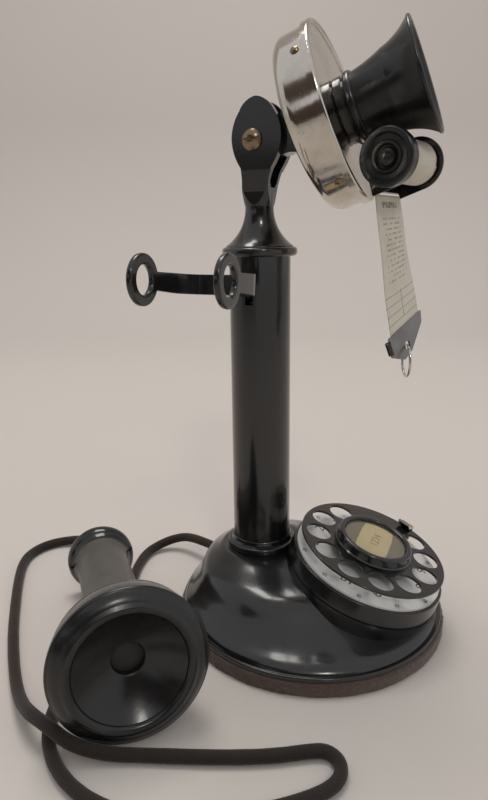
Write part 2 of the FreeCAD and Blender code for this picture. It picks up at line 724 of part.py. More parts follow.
def transmitter():
    """Transmitter head: lug, cup, mirror-bright faceplate, screws and the parts behind it."""
    rear = s.face_distance - s.cup_depth
    lug = add_body("transmitter_lug", head_place)
    side = add_sketch(lug, "YZ_Plane")
    round_end = s.lug_radius
    outline(side, [
        (round_end, 0), (7.0, 14.0), (7.0, rear - 1.0), (-15.0, rear - 1.0), (-11.0, 14.0),
        (-round_end, 0),
    ])
    pad(lug, side, s.lug_width, symmetric=True)
    end = add_sketch(lug, "YZ_Plane")
    circle(end, 0, 0, round_end)
    pad(lug, end, s.lug_width, symmetric=True)
    flange = add_sketch(lug, "XY_Plane", rear)
    circle(flange, 0, -s.face_drop, 14.5)
    pad(lug, flange, 2.6)
    lug.Tip.Reversed = True
    eye = add_sketch(lug, "YZ_Plane")
    circle(eye, 0, 0, s.pivot_radius + s.running_fit)
    pad(lug, eye, 40.0, symmetric=True, cut=True)
    radius = s.cup_radius
    wall = s.cup_wall
    corner = s.cup_corner
    turned("transmitter_cup", [
        (0, -s.cup_depth), (radius - corner, -s.cup_depth), (radius, corner - s.cup_depth, corner),
        (radius, -s.face_thickness), (radius - wall, -s.face_thickness),
        (radius - wall, corner - s.cup_depth), (radius - corner, wall - s.cup_depth, wall - corner),
        (0, wall - s.cup_depth),
    ], face_place)
    plate = s.face_radius
    thick = s.face_thickness
    bead = s.bead_radius
    turned("faceplate", [
        (s.throat_radius + 0.3, -thick), (s.throat_radius + 0.3, 0), (plate - 2 * bead, 0),
        (plate, 0, -bead - 0.05), (plate, -s.face_skirt),
        (radius + s.snug, -s.face_skirt), (radius + s.snug, -thick),
    ], face_place)
    heads = []
    for angle in (56.0, 142.0, 236.0, 322.0):
        # Angles run from the plate's top towards the hook side
        place = face_place * moved(z=-s.wall_screw_axial, angle=90.0 + angle)
        place = place * moved(x=radius - 0.4, axis=Y_AXIS, angle=90.0)
        heads.append(turned(f"wall_screw_{len(heads) + 1}", [
            (0, 0), (s.wall_screw_radius, 0), (s.wall_screw_radius, 0.7), (0.4, 1.5, 2.2), (0, 1.5),
        ], place))
    joined_solids("rim_screws", heads)
    cup_floor = wall - s.cup_depth
    bridge = add_body("transmitter_bridge", face_place)
    bar = add_sketch(bridge, "XY_Plane", cup_floor + 0.6 + s.button_depth)
    reach = s.diaphragm_radius - 1.0
    half = s.bridge_width / 2
    outline(bar, [(-reach, -half), (reach, -half), (reach, half), (-reach, half)])
    circle(bar, 0, 0, 2.6)
    pad(bridge, bar, s.bridge_thickness)
    front = cup_floor + 0.6 + s.button_depth
    turned("carbon_button", [
        (0, cup_floor + 0.6), (s.button_radius, cup_floor + 0.6), (s.button_radius, front),
        (1.8, front), (1.8, -4.9), (0, -4.9),
    ], face_place)
    turned("transmitter_diaphragm", [
        (0, -4.8), (s.diaphragm_radius, -4.8), (s.diaphragm_radius, -4.8 + s.diaphragm_thickness),
        (0, -4.8 + s.diaphragm_thickness),
    ], face_place)
    outside = radius - wall - s.gap
    turned("diaphragm_gasket", [
        (s.diaphragm_radius - 3.0, -4.3), (s.diaphragm_radius - 3.0, -thick), (outside, -thick),
        (outside, -6.2), (s.diaphragm_radius - 3.0, -6.2),
        (s.diaphragm_radius - 3.0, -4.8), (s.diaphragm_radius, -4.8), (s.diaphragm_radius, -4.3),
    ], face_place)


def mouthpiece():
    """Flared mouthpiece with a bead at its neck and a pierced floor."""
    length = s.mouth_length
    wall = s.mouth_wall
    rim = s.mouth_radius
    low = s.gap
    neck = s.mouth_neck_length
    body = turned("mouthpiece", [
        (0, 2.6), (0, 0.6), (6.0, 0.6), (6.0, -s.mouth_thread), (s.throat_radius, -s.mouth_thread),
        (s.throat_radius, low), (s.mouth_neck_radius, low), (s.mouth_neck_radius, neck),
        (s.mouth_bead_radius, neck + s.mouth_bead_width / 2, s.mouth_bead_width / 1.6),
        (s.mouth_waist, neck + s.mouth_bead_width + 0.8, s.mouth_bead_width / 1.6),
        (s.mouth_mid_radius, s.mouth_mid_length, -60.0), (rim - 0.7, length - 1.8, -26.0),
        (rim, length - 0.9, 0.9), (rim - 0.9, length, 0.9), (rim - wall, length - 0.4),
        (s.mouth_mid_radius - wall, s.mouth_mid_length, 28.0), (9.0, 2.6, 60.0),
    ], face_place)
    polar_holes(body, 1.1, 4.2, 6, 0.2, 6.0)
    return body


def directory():
    """Roll-up directory under the mouthpiece: case, clamp with arm, rivets, knob and paper."""
    half = s.case_inner / 2
    radius = s.case_radius
    back = s.case_corner_back
    drop = s.case_corner_drop
    reach = math.hypot(back.value, drop.value)
    point = math.atan2(-drop.value, back.value)
    open_angle = math.acos(radius.value / reach)
    side = add_body("case_sides", roll_place)
    cheek = add_sketch(side, "YZ_Plane")
    first = point + open_angle
    second = point - open_angle
    at = [(radius * math.cos(a), radius * math.sin(a)) for a in (first, second)]
    top = (radius * math.cos(point + math.pi), radius * math.sin(point + math.pi))
    outline(cheek, [(back, -drop), at[0], (top[0], top[1], radius), (at[1][0], at[1][1], radius)])
    pad(side, cheek, s.case_inner + 2 * s.case_wall, symmetric=True)
    inside = add_sketch(side, "YZ_Plane")
    outline(inside, [(-30, -30), (30, -30), (30, 30), (-30, 30)])
    pad(side, inside, s.case_inner, symmetric=True, cut=True)
    bore = add_sketch(side, "YZ_Plane")
    circle(bore, 0, 0, s.spindle_radius + s.running_fit)
    pad(side, bore, 80.0, symmetric=True, cut=True)
    web = add_body("case_web", roll_place)
    wall = add_sketch(web, "YZ_Plane")
    face = radius - 0.1
    outline(wall, [
        (face, 5.5), (face, -4.0), (back + 0.9, -drop + 2.0), (back, -drop + 2.4),
        (face - s.case_wall, -4.0), (face - s.case_wall, 5.5),
    ])
    pad(web, wall, s.case_inner + 0.4, symmetric=True)
    joined_solids("directory_case", [side, web], "Part::MultiFuse")
    # Clamp round the neck of the mouthpiece and the arm down to the case
    inner = s.mouth_neck_radius + s.snug
    outer = inner + s.clamp_wall
    low = 0.8
    ring = turned("clamp_ring", ring_outline(inner, outer, low, low + s.clamp_width), face_place)
    arm = add_body("arm_foot", roll_place)
    foot = add_sketch(arm, "YZ_Plane")
    outer_face = face + s.arm_thickness
    outline(foot, [(face, 5.0), (face, -4.0), (outer_face, -4.0), (outer_face, 5.0)])
    pad(arm, foot, s.arm_width, symmetric=True)
    wide = s.arm_width.value / 2
    low_edge = [roll_place.multVec(Vector(x, y, 4.6)) for x, y in (
        (-wide, face.value), (wide, face.value),
        (wide, outer_face.value), (-wide, outer_face.value))]
    level = -(inner.value + 0.9)
    high_edge = [face_place.multVec(Vector(x, level, z)) for x, z in (
        (-wide + 1, 3.4), (wide - 1, 3.4), (wide - 1, 2.0), (-wide + 1, 2.0))]
    wires = [Part.makePolygon(edge + [edge[0]]) for edge in (low_edge, high_edge)]
    bridge = shaped("arm_neck", Part.makeLoft(wires, True, True))
    joined_solids("directory_bracket", [ring, arm, bridge], "Part::MultiFuse")
    rivets = []
    for x, z in ((-2.6, 2.6), (2.6, 2.6), (0.0, -1.8)):
        place = roll_place * moved(x, outer_face - 2.6, z, X_AXIS, -90.0)
        rivets.append(turned(f"rivet_{len(rivets) + 1}", [
            (0, 0), (1.1, 0), (1.1, 2.7), (0.3, 3.4, 1.2), (0, 3.4),
        ], place))
    joined_solids("directory_rivets", rivets)
    axle = half + s.case_wall
    across = roll_place * moved(axis=Y_AXIS, angle=-90.0)
    turned("roll_spindle", [
        (0, -axle - 2.4), (0.6, -axle - 2.4), (3.4, -axle - 1.5, 6.0), (3.4, -axle - s.gap),
        (s.spindle_radius, -axle - s.gap),
        (s.spindle_radius, axle + s.knob_gap + 3.0), (0, axle + s.knob_gap + 3.0),
    ], across)
    base = axle + s.knob_gap
    top = base + s.knob_tall
    knob = s.knob_radius
    turned("roll_knob", [
        (s.spindle_radius, base), (knob - 1.0, base), (knob, base + 1.0, 1.0), (knob, top - 1.2),
        (knob - 1.2, top, 1.2), (knob - 2.4, top), (knob - 3.2, top - 1.2), (knob - 5.2, top - 1.6),
        (knob - 5.8, top - 0.9), (knob - 6.8, top - 0.9), (knob - 7.5, top - 2.2),
        (4.2, top - 2.4), (3.4, top - 1.0), (0.6, top - 0.3, 8.0), (0, top - 0.3), (0, base + 3.1),
        (s.spindle_radius, base + 3.1),
    ], across)
    turned("paper_roll", ring_outline(
        s.spindle_radius, s.roll_radius, s.gap - half, half - s.gap), across)


# Frame of the sheet's lower end and its tab: along the width, up the sheet, its normal
tab_centre = Vector(1.13, -71.76, 158.09)
tab_across = Vector(0.892, -0.310, 0.330)
tab_up = Vector(-0.240, 0.290, 0.930)
tab_place = Placement(tab_centre, Rotation(tab_across, tab_up, Vector(0, 0, 0), "XYZ"))


def sheet_and_tab():
    """Sheet drawn out of the case, with a metal tab, its rolled clip and a pull ring."""
    half = s.strip_width / 2
    thick = s.strip_thickness
    start = roll_place * moved(y=s.strip_back, z=-s.strip_start)
    across = start.Rotation.multVec(X_AXIS)
    normal = start.Rotation.multVec(Y_AXIS)
    half_wide = half.value
    side = thick.value / 2
    head = [start.Base + across * x + normal * y for x, y in (
        (-half_wide, -side), (half_wide, -side), (half_wide, side), (-half_wide, side))]
    tail_across = tab_place.Rotation.multVec(X_AXIS)
    tail_normal = tab_place.Rotation.multVec(Z_AXIS)
    tail_up = tab_place.Rotation.multVec(Y_AXIS)
    tail = [tab_place.Base + tail_up * 0.4 + tail_across * x - tail_normal * y for x, y in (
        (-half_wide, -side), (half_wide, -side), (half_wide, side), (-half_wide, side))]
    wires = [Part.makePolygon(edge + [edge[0]]) for edge in (head, tail)]
    shaped("paper_strip", Part.makeLoft(wires, True, True))
    tab = add_body("strip_tab", tab_place)
    flat = add_sketch(tab, "XY_Plane")
    outline(flat, [
        (-15.6, 0), (-17.6, -8.6), (-8.8, -14.0), (-1.2, -13.0), (13.2, -5.1), (15.6, 0),
    ])
    circle(flat, -3.4, -9.2, s.tab_hole)
    pad(tab, flat, s.tab_thickness, symmetric=True)
    clip = tab_place * moved(x=-17.3, y=-7.2, axis=X_AXIS, angle=-90.0)
    turned("strip_clip", ring_outline(0.6, 1.4, 0, 6.0), clip)
    ring_top = tab_place.multVec(Vector(-3.4, -9.2, 0))
    hang = s.pull_ring_radius.value
    ring_normal = Vector(0.365, -0.916, 0).normalize()
    ring = doc.addObject("Part::Torus", "pull_ring")
    ring.Label = "pull_ring"
    bind(ring, "Radius1", s.pull_ring_radius)
    bind(ring, "Radius2", s.pull_ring_wire)
    ring.Placement = Placement(ring_top - Vector(0, 0, hang), Rotation(Z_AXIS, ring_normal))


def dial():
    """Dial: cup, number plate, pan, finger wheel with ten holes, centre card and works."""
    drop = s.dial_cup_drop
    foot = s.dial_cup_radius
    lip = s.dial_cup_top_radius
    plate_low = -s.plate_drop - s.number_thickness
    turned("dial_cup", [
        (35.4, -drop), (foot - 0.6, -drop), (foot, 0.6 - drop, 0.6), (foot, 2.0 - drop),
        (lip, plate_low - 0.6), (lip - 0.6, plate_low, 0.6), (35.4, plate_low),
    ], dial_place)
    turned("number_plate", ring_outline(3.4, s.number_radius, plate_low, -s.plate_drop), dial_place)
    pan = s.dial_frame_radius
    low = -s.dial_frame_drop
    turned("dial_frame", [
        (3.4, low), (pan, low), (pan, plate_low), (pan - 1.4, plate_low),
        (pan - 1.4, low + s.dial_frame_thickness), (3.4, low + s.dial_frame_thickness),
    ], dial_place)
    half = s.wheel_thickness / 2
    wheel = turned("finger_wheel", [
        (6.0, -half), (s.wheel_radius - 0.4, -half), (s.wheel_radius, 0.4 - half, 0.4),
        (s.wheel_radius, half - 0.4), (s.wheel_radius - 0.4, half, 0.4), (6.0, half),
    ], dial_place)
    sketch = add_sketch(wheel, "XY_Plane", -3.0)
    for angle in HOLE_ANGLES:
        turn = math.radians(angle)
        circle(sketch, s.wheel_hole_circle * math.cos(turn), s.wheel_hole_circle * math.sin(turn),
               s.wheel_hole_radius)
    pad(wheel, sketch, 6.0, cut=True, reverse=True)
    outer = s.card_ring_radius
    inner = s.card_ring_inner
    tall = s.card_ring_tall
    turned("card_ring", [
        (inner - 0.2, half), (outer, half), (outer, half + 0.8), (outer - 0.7, half + 1.3),
        (outer - 1.0, tall - 1.0), (outer - 2.0, tall, 1.2), (inner + 0.7, tall),
        (inner - 0.2, tall - 0.9, 0.95),
    ], dial_place)
    turned("number_card", ring_outline(0, inner - 0.5, half + 1.9, half + 3.1), dial_place)
    turned("card_window", ring_outline(0, inner - 0.5, half + 3.3, half + 4.1), dial_place)
    hub = 5.8
    turned("wheel_shaft", [
        (0, -24.0), (s.shaft_radius, -24.0), (s.shaft_radius, -3.4), (hub, -3.4),
        (hub, half), (0, half),
    ], dial_place)
    gear_low = -s.gear_drop - s.gear_thickness
    gear = turned("main_gear", ring_outline(s.shaft_radius, s.gear_radius, gear_low, -s.gear_drop),
                  dial_place)
    polar_holes(gear, 2.4, 9.4, 5, gear_low - 1, s.gear_thickness + 2)
    turned("mainspring", ring_outline(s.shaft_radius + 0.6, 10.5, low - 3.6, low - s.gap), dial_place)
    # Stop: a hooked strip from the cup's lip over the edge of the wheel
    stop = add_body("finger_stop", dial_place * moved(angle=340.0))
    strip = add_sketch(stop, "XZ_Plane")
    outline(strip, [
        (lip - 1.3, -s.plate_drop), (lip - 0.1, -s.plate_drop), (lip - 0.1, 1.4),
        (lip - 1.4, 2.7, 1.35), (34.8, 2.7), (32.2, 5.4), (31.2, 4.6), (34.2, 1.4), (lip - 1.3, 1.4),
    ])
    pad(stop, strip, 6.8, symmetric=True)
    # Governor beside the shaft, its pinion meshing with the main gear
    reach = s.gear_radius + s.pinion_radius + s.snug
    turned("governor_pinion", [
        (0, gear_low - 1.6), (s.pinion_radius, gear_low - 1.6), (s.pinion_radius, 0.6 - s.gear_drop),
        (0.9, 0.6 - s.gear_drop), (0.9, low - s.gap), (0, low - s.gap),
    ], dial_place * moved(y=reach))
    turned("governor_cup", ring_outline(
        0, s.governor_radius, gear_low - 2.4 - s.governor_tall, gear_low - 2.4),
        dial_place * moved(y=reach))
    leaves = []
    for k in range(3):
        leaves.append(block(f"pulse_leaf_{k + 1}", 22.0, 0.4, 4.0,
                            dial_place * moved(-11.0, -22.0 - 1.8 * k, low - 5.0)))
    joined_solids("pulse_springs", leaves)


def receiver():
    """Hand receiver lying on the table: ear cap, slim shell with a flared tail, works inside."""
    rim = s.cap_radius
    back = s.cap_back
    ridge = s.cap_ridge
    hole = s.ear_hole
    turned("ear_cap", [
        (hole, -5.6), (hole + 0.8, -4.8, -0.8), (ridge - 2.4, 3.6, 60.0), (ridge - 0.4, 5.4, -2.4),
        (ridge + 1.4, 5.2, -1.6), (ridge + 2.6, 4.4), (rim - 1.0, 1.4, -9.0), (rim, 0, -1.4),
        (rim - 2.0, 3.0 - back, -50.0), (rim - 3.0, -back, -4.0), (rim - 5.4, -back),
        (rim - 5.4, -8.4), (hole, -8.0),
    ], receiver_place)
    tail = s.receiver_length
    tube = s.tube_radius
    wall = s.tube_wall
    inside = rim - 5.4 - s.running_fit
    turned("receiver_shell", [
        (inside, -9.7), (inside, -back - 1.0), (24.6, -20.0, -14.0), (tube + 1.4, -31.0, 14.0),
        (tube, -44.0, 60.0), (tube, 17.0 - tail), (tube + 0.6, 11.0 - tail, 20.0),
        (s.tail_radius - 1.2, s.tail_flange - tail, 9.0), (s.tail_radius, 0.8 - tail, -6.0),
        (s.tail_radius - 0.8, -tail, -0.8), (tube - 3.0, -tail), (tube - 3.0, 3.0 - tail),
        (tube - wall, 5.0 - tail), (tube - wall, -33.0), (14.5, -25.0), (21.5, -17.5),
        (24.4, -12.0), (24.4, -9.7),
    ], receiver_place)
    turned("receiver_tail_plug", [
        (0, -tail - 1.6), (4.6, -tail - 1.6), (6.0, -tail - 0.4, 1.4), (tube - 3.0, -tail + 0.6),
        (tube - 3.0, 2.8 - tail), (0, 2.8 - tail),
    ], receiver_place)
    turned("receiver_diaphragm", ring_outline(0, inside - 0.6, -9.4, -9.0), receiver_place)
    bar = tube.value * 0.5
    poles = [
        block(f"magnet_leg_{k + 1}", 5.0, 9.0, 85.8,
              receiver_place * moved(x - 2.5, -4.5, -96.0))
        for k, x in enumerate((-bar, bar))
    ]
    yoke = block("magnet_yoke", 2 * bar + 5.0, 9.0, 5.0, receiver_place * moved(-bar - 2.5, -4.5, -100.9))
    joined_solids("receiver_magnet", poles + [yoke], "Part::MultiFuse")
    coils = []
    for k, x in enumerate((-bar, bar)):
        outer = block(f"coil_outer_{k + 1}", 10.0, 15.0, 9.0,
                      receiver_place * moved(x - 5.0, -7.5, -19.5))
        inner = block(f"coil_inner_{k + 1}", 5.2, 9.2, 20.0,
                      receiver_place * moved(x - 2.6, -4.6, -24.0))
        coils.append(cut_away(f"coil_{k + 1}", outer, inner))
    joined_solids("pole_coils", coils)


# Way of the receiver cord on the table, from the receiver's tail to the base
CORD_WAY = [
    (-3.5, 109.0, 13.2), (5.5, 118.5, 8.8), (9.5, 130.5, 5.0), (7.0, 143.0, 3.1),
    (-2.5, 151.5, 2.9), (-15.5, 153.5, 2.9), (-28.0, 148.5, 2.9), (-44.0, 137.0, 2.9),
    (-62.0, 122.5, 2.9), (-80.5, 107.0, 2.9), (-97.5, 91.0, 2.9), (-110.5, 77.5, 3.0),
    (-120.0, 66.0, 5.4), (-126.5, 56.5, 9.2), (-130.3, 48.0, 11.3), (-132.4, 39.0, 11.3),
    (-133.5, 29.0, 8.2), (-128.5, 16.5, 3.6), (-123.0, 3.0, 2.9), (-117.5, -12.5, 2.9),
    (-111.0, -30.0, 2.9), (-104.0, -45.5, 2.9), (-97.6, -56.0, 2.9), (-94.2, -63.0, 2.9),
    (-97.0, -69.2, 2.9), (-103.8, -71.4, 2.9), (-111.5, -68.2, 2.9), (-121.0, -58.5, 2.9),
    (-131.5, -44.0, 2.9), (-141.0, -27.0, 2.9), (-147.0, -8.0, 2.9), (-147.5, 10.0, 2.9),
    (-143.0, 26.0, 2.9), (-134.0, 40.0, 2.9), (-120.0, 50.5, 2.9), (-101.0, 56.0, 2.9),
    (-80.0, 58.5, 2.9), (-60.0, 61.5, 2.9), (-40.0, 66.5, 2.9), (-21.0, 73.5, 2.9),
    (-4.0, 80.5, 2.9), (12.6, 84.0, 2.9), (22.0, 81.0, 4.0), (28.4, 74.0, 6.6),
    (30.1, 64.4, 9.6),
]
ARC_SHARE = 0.45


def cord():
    """Braided cord: straight runs joined by tangent arcs, swept with a round section."""
    end = base_place.multVec(cord_inlet(CORD_INLET_ANGLE, inlet_reach + 1.5).Base)
    out = base_place.Rotation.multVec(cord_inlet(CORD_INLET_ANGLE, 0).Rotation.multVec(Z_AXIS))
    start = receiver_place.multVec(Vector(0, 0, -s.receiver_length.value - 1.6))
    lead = start - receiver_axis * 12.0
    points = [start, lead] + [Vector(*p) for p in CORD_WAY] + [end + out * 13.0, end]
    pieces = []
    radii = []
    at = points[0]
    for before, corner, after in zip(points, points[1:], points[2:]):
        come = corner - before
        leave = after - corner
        half_turn = come.getAngle(leave) / 2
        reach = ARC_SHARE * min(come.Length, leave.Length)
        radii.append(reach / math.tan(half_turn))
        enter = corner - come * (reach / come.Length)
        exit_point = corner + leave * (reach / leave.Length)
        inward = (leave / leave.Length - come / come.Length).normalize()
        centre_far = radii[-1] / math.cos(half_turn)
        middle = corner + inward * (centre_far - radii[-1])
        pieces.append(Part.LineSegment(at, enter).toShape())
        pieces.append(Part.Arc(enter, middle, exit_point).toShape())
        at = exit_point
    pieces.append(Part.LineSegment(at, points[-1]).toShape())
    path = Part.Wire(pieces)
    radius = s.cord_diameter.value / 2
    section = Part.Wire(Part.makeCircle(radius, points[0], points[1] - points[0]))
    solid = path.makePipeShell([section], True, False)
    shaped("receiver_cord", solid)
    share = solid.Volume / (math.pi * radius * radius * path.Length)
    print("cord length mm", round(path.Length, 1), "volume share", round(share, 4))
    print("cord bend radii mm", [round(r, 1) for r in radii])
    print("cord points mm", [(round(p.x, 1), round(p.y, 1), round(p.z, 2)) for p in points])


NODES = [
    "base_felt", "bottom_plate", "bottom_plate_screws", "base_shell", "cord_bushing",
    "line_inlet_bushing", "terminal_block", "terminal_screws", "column_tube", "foot_ring",
    "column_foot_screws", "switch_frame", "hook_pin", "contact_springs", "contact_insulators",
    "hook_spring", "hook_lever", "collar_yoke", "pivot_screw",
    "pivot_nut", "transmitter_lug", "transmitter_cup", "faceplate", "rim_screws",
    "transmitter_bridge", "carbon_button", "transmitter_diaphragm", "diaphragm_gasket",
    "mouthpiece", "directory_case", "directory_bracket", "directory_rivets", "roll_spindle",
    "roll_knob", "paper_roll", "paper_strip", "strip_tab", "strip_clip", "pull_ring",
    "dial_cup", "number_plate", "dial_frame", "finger_wheel", "card_ring", "number_card",
    "card_window", "wheel_shaft", "main_gear", "mainspring", "finger_stop", "governor_pinion",
    "governor_cup", "pulse_springs", "ear_cap", "receiver_shell",
    "receiver_tail_plug", "receiver_diaphragm", "receiver_magnet", "pole_coils", "receiver_cord",
]


def export():
    """Writes every node as a STEP file after checking it."""
    doc.recompute()
    os.makedirs("parts", exist_ok=True)
    for item in doc.Objects:
        if "Invalid" in item.State or "Error" in item.State:
            raise ValueError(f"{item.Label} is not built: {item.State}")
    for name in NODES:
        item = doc.getObjectsByLabel(name)[0]
        shape = item.Shape
        if shape.isNull() or not shape.isValid() or not shape.Solids:
            raise ValueError(f"{name} has no valid solid")
        box = shape.BoundBox
        print(name, len(shape.Solids), round(shape.Volume, 1), "box",
              [round(v, 1) for v in (box.XMin, box.YMin, box.ZMin, box.XMax, box.YMax, box.ZMax)])
        Part.export([item], f"parts/{name}.step")


felt_and_plate()
base_shell()
inlet_bushings()
terminals()
column()
switch()
hook_spring()
hook()
collar()
pivot()
transmitter()
mouthpiece()
directory()
sheet_and_tab()
dial()
receiver()
cord()
export()
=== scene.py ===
"""Candlestick dial telephone: the looks of every piece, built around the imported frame."""

import json
import math

import bmesh
import bpy
import numpy as np
from mathutils import Matrix, Vector


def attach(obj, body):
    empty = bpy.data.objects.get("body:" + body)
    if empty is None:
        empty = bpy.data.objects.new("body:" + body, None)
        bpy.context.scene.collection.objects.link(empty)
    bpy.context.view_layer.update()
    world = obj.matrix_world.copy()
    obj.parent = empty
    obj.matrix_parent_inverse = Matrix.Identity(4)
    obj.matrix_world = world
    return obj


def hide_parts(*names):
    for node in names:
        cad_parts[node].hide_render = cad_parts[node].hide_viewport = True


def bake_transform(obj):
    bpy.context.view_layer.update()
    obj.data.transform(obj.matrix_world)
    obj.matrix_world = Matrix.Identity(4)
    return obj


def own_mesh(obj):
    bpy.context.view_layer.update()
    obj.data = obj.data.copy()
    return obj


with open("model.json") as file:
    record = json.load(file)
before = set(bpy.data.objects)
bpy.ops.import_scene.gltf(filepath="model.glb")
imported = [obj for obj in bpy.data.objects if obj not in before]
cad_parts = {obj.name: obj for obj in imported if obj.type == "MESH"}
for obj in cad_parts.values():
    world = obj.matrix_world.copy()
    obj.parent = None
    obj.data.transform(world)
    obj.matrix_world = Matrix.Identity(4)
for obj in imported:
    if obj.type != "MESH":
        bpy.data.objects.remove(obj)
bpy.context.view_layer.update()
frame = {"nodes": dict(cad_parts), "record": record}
NODES = frame["nodes"]
MM = 0.001
FULL = 2 * math.pi


# ---------------------------------------------------------------- the view

# The camera's heading, pitch down and roll, its place in metres, its lens and the picture's shift
CAMERA_TURN = tuple(math.radians(a) for a in (-67.33, 13.74, -0.78))
CAMERA_PLACE = (-0.28773, -0.1112, 0.19917)
CAMERA_LENS = 27.35
CAMERA_SHIFT = (-0.0011, -0.0196)


def look():
    """Camera at the photograph's viewing angle: a heading, a pitch down and a small roll."""
    heading, pitch, roll = CAMERA_TURN
    forward = Vector((-math.sin(heading) * math.cos(pitch), math.cos(heading) * math.cos(pitch),
                      -math.sin(pitch)))
    level = Vector((math.cos(heading), math.sin(heading), 0))
    over = level.cross(forward)
    right = math.cos(roll) * level + math.sin(roll) * over
    up = math.cos(roll) * over - math.sin(roll) * level
    camera = bpy.data.objects.new("camera", bpy.data.cameras.new("camera"))
    camera.data.lens = CAMERA_LENS
    camera.data.shift_x, camera.data.shift_y = CAMERA_SHIFT
    camera.data.clip_start = 0.01
    turned = Matrix((right, up, -forward)).transposed().to_4x4()
    camera.matrix_world = Matrix.Translation(CAMERA_PLACE) @ turned
    bpy.context.scene.collection.objects.link(camera)
    bpy.context.scene.camera = camera


look()


# ---------------------------------------------------------------- places and surfaces

class Place:
    """A local frame in the object: mm in it become metres in the row frame."""

    def __init__(self, origin, x=(1, 0, 0), y=(0, 1, 0), z=(0, 0, 1)):
        self.origin = np.array(origin, float)
        self.axes = np.array([x, y, z], float)

    def __call__(self, points):
        return (np.asarray(points, float) @ self.axes + self.origin) * MM


def tilted(origin, degrees):
    """Place turned about X."""
    c, s = math.cos(math.radians(degrees)), math.sin(math.radians(degrees))
    return Place(origin, y=(0, c, s), z=(0, -s, c))


def headed(origin, degrees):
    """Place turned about Z, clockwise from above."""
    c, s = math.cos(math.radians(degrees)), math.sin(math.radians(degrees))
    return Place(origin, x=(c, -s, 0), y=(s, c, 0))


TABLE = Place((0, 0, 0))
BASE = Place((0, -27.9, 0))
DIAL = tilted((0, -61.0, 42.46), 17.46)
ROLL = headed((1.5, -68.5, 230.2), 14)
TAB = Place((1.13, -71.76, 158.09),
            x=(0.892, -0.310, 0.330), y=(-0.240, 0.290, 0.930), z=(-0.384, -0.909, 0.184))


def unit(vectors):
    return vectors / np.linalg.norm(vectors, axis=-1, keepdims=True)


def linked(name, mesh, smooth=True):
    mesh.polygons.foreach_set("use_smooth", np.full(len(mesh.polygons), smooth))
    piece = bpy.data.objects.new(name, mesh)
    bpy.context.scene.collection.objects.link(piece)
    return piece


def surface(name, points, wrap=(False, False), shape=None):
    """Quads through a grid of points (rows, columns, 3), closed on itself where it wraps.
    The face normal is the way along the rows times the way along the columns.
    UV run 0 to 1 along both. shape is a value of each point, kept as an attribute."""
    rows, columns = points.shape[:2]
    steps = rows - (not wrap[0]), columns - (not wrap[1])
    i, j = np.meshgrid(np.arange(steps[0]), np.arange(steps[1]), indexing="ij")
    row = np.stack([i, i + 1, i + 1, i], -1).reshape(-1, 4)
    column = np.stack([j, j, j + 1, j + 1], -1).reshape(-1, 4)
    faces = (row % rows) * columns + column % columns
    mesh = bpy.data.meshes.new(name)
    mesh.from_pydata(points.reshape(-1, 3).tolist(), [], faces.tolist())
    ways = np.stack([row / steps[0], column / steps[1]], -1).astype(np.float32)
    mesh.uv_layers.new(name="UVMap").data.foreach_set("uv", ways.ravel())
    if shape is not None:
        kept = mesh.attributes.new("height", "FLOAT", "POINT")
        kept.data.foreach_set("value", shape.astype(np.float32).ravel())
    return linked(name, mesh)


def closed(piece):
    """Merges the doubled points of poles and seams."""
    work = bmesh.new()
    work.from_mesh(piece.data)
    bmesh.ops.remove_doubles(work, verts=work.verts, dist=1e-7)
    work.to_mesh(piece.data)
    work.free()
    return piece


def revolved(name, profile, place, turns, ripple):
    """Turned form: the profile (r, z) goes round the place's Z, up on its outer side.
    ripple(angle, r, z) is added to r."""
    angle = np.linspace(0, FULL, turns, endpoint=False)[:, None]
    r, z = profile[None, :, 0], profile[None, :, 1]
    r = r + ripple(angle, r, z)
    points = [r * np.cos(angle), r * np.sin(angle), np.broadcast_to(z, r.shape)]
    return closed(surface(name, place(np.stack(points, -1)), (True, False)))


def along(corners, step):
    """Points every step along straight runs between corners, the corners kept."""
    corners = np.asarray(corners, float)
    parts = []
    for a, b in zip(corners[:-1], corners[1:]):
        count = max(1, int(np.ceil(np.linalg.norm(b - a) / step)))
        parts.append(a + (b - a) * (np.arange(count) / count)[:, None])
    return np.vstack([*parts, corners[-1:]])


# ---------------------------------------------------------------- finishes

# The receiver's axis from its tail to its ear cap, its face and the tube's ends on it (metres)
RECEIVER_AXIS = (-0.7434, -0.6577, 0.1220)
RECEIVER_FACE = 0.0786
TUBE_LOW, TUBE_HIGH = -0.1085, -0.040

MOULDING, RUBBED_MOULDING = (0.0085, 0.0085, 0.0088), (0.014, 0.0135, 0.013)

# The strip's print: rows of dashes on its whole length, and rules of the box
PRINTED_ROWS, BOX_ROWS = 26.0, 15.0


class Value:
    """What a node gives, written like a number: + - * and the rest add Math nodes."""

    def __init__(self, finish, socket):
        self.finish, self.socket = finish, socket

    def maths(self, operation, *others):
        return self.finish.node("Math", {"operation": operation}, dict(enumerate((self, *others))))

    def __add__(self, other):
        return self.maths("ADD", other)

    def __mul__(self, other):
        return self.maths("MULTIPLY", other)

    def __sub__(self, other):
        return self.maths("SUBTRACT", other)

    def __rsub__(self, other):
        return self.maths("MULTIPLY_ADD", -1.0, other)

    __radd__, __rmul__ = __add__, __mul__

    def above(self, other):
        return self.maths("GREATER_THAN", other)

    def below(self, other):
        return self.maths("LESS_THAN", other)

    def between(self, low, high):
        return self.above(low) * self.below(high)

    def larger(self, other):
        return self.maths("MAXIMUM", other)

    def ramp(self, low, high):
        """0 at low, 1 at high, straight between and flat outside."""
        return self.finish.node("MapRange", {"clamp": True}, {0: self, 1: low, 2: high})

    def wave(self, rate):
        return (self * (rate * FULL)).maths("SINE") * 0.5 + 0.5


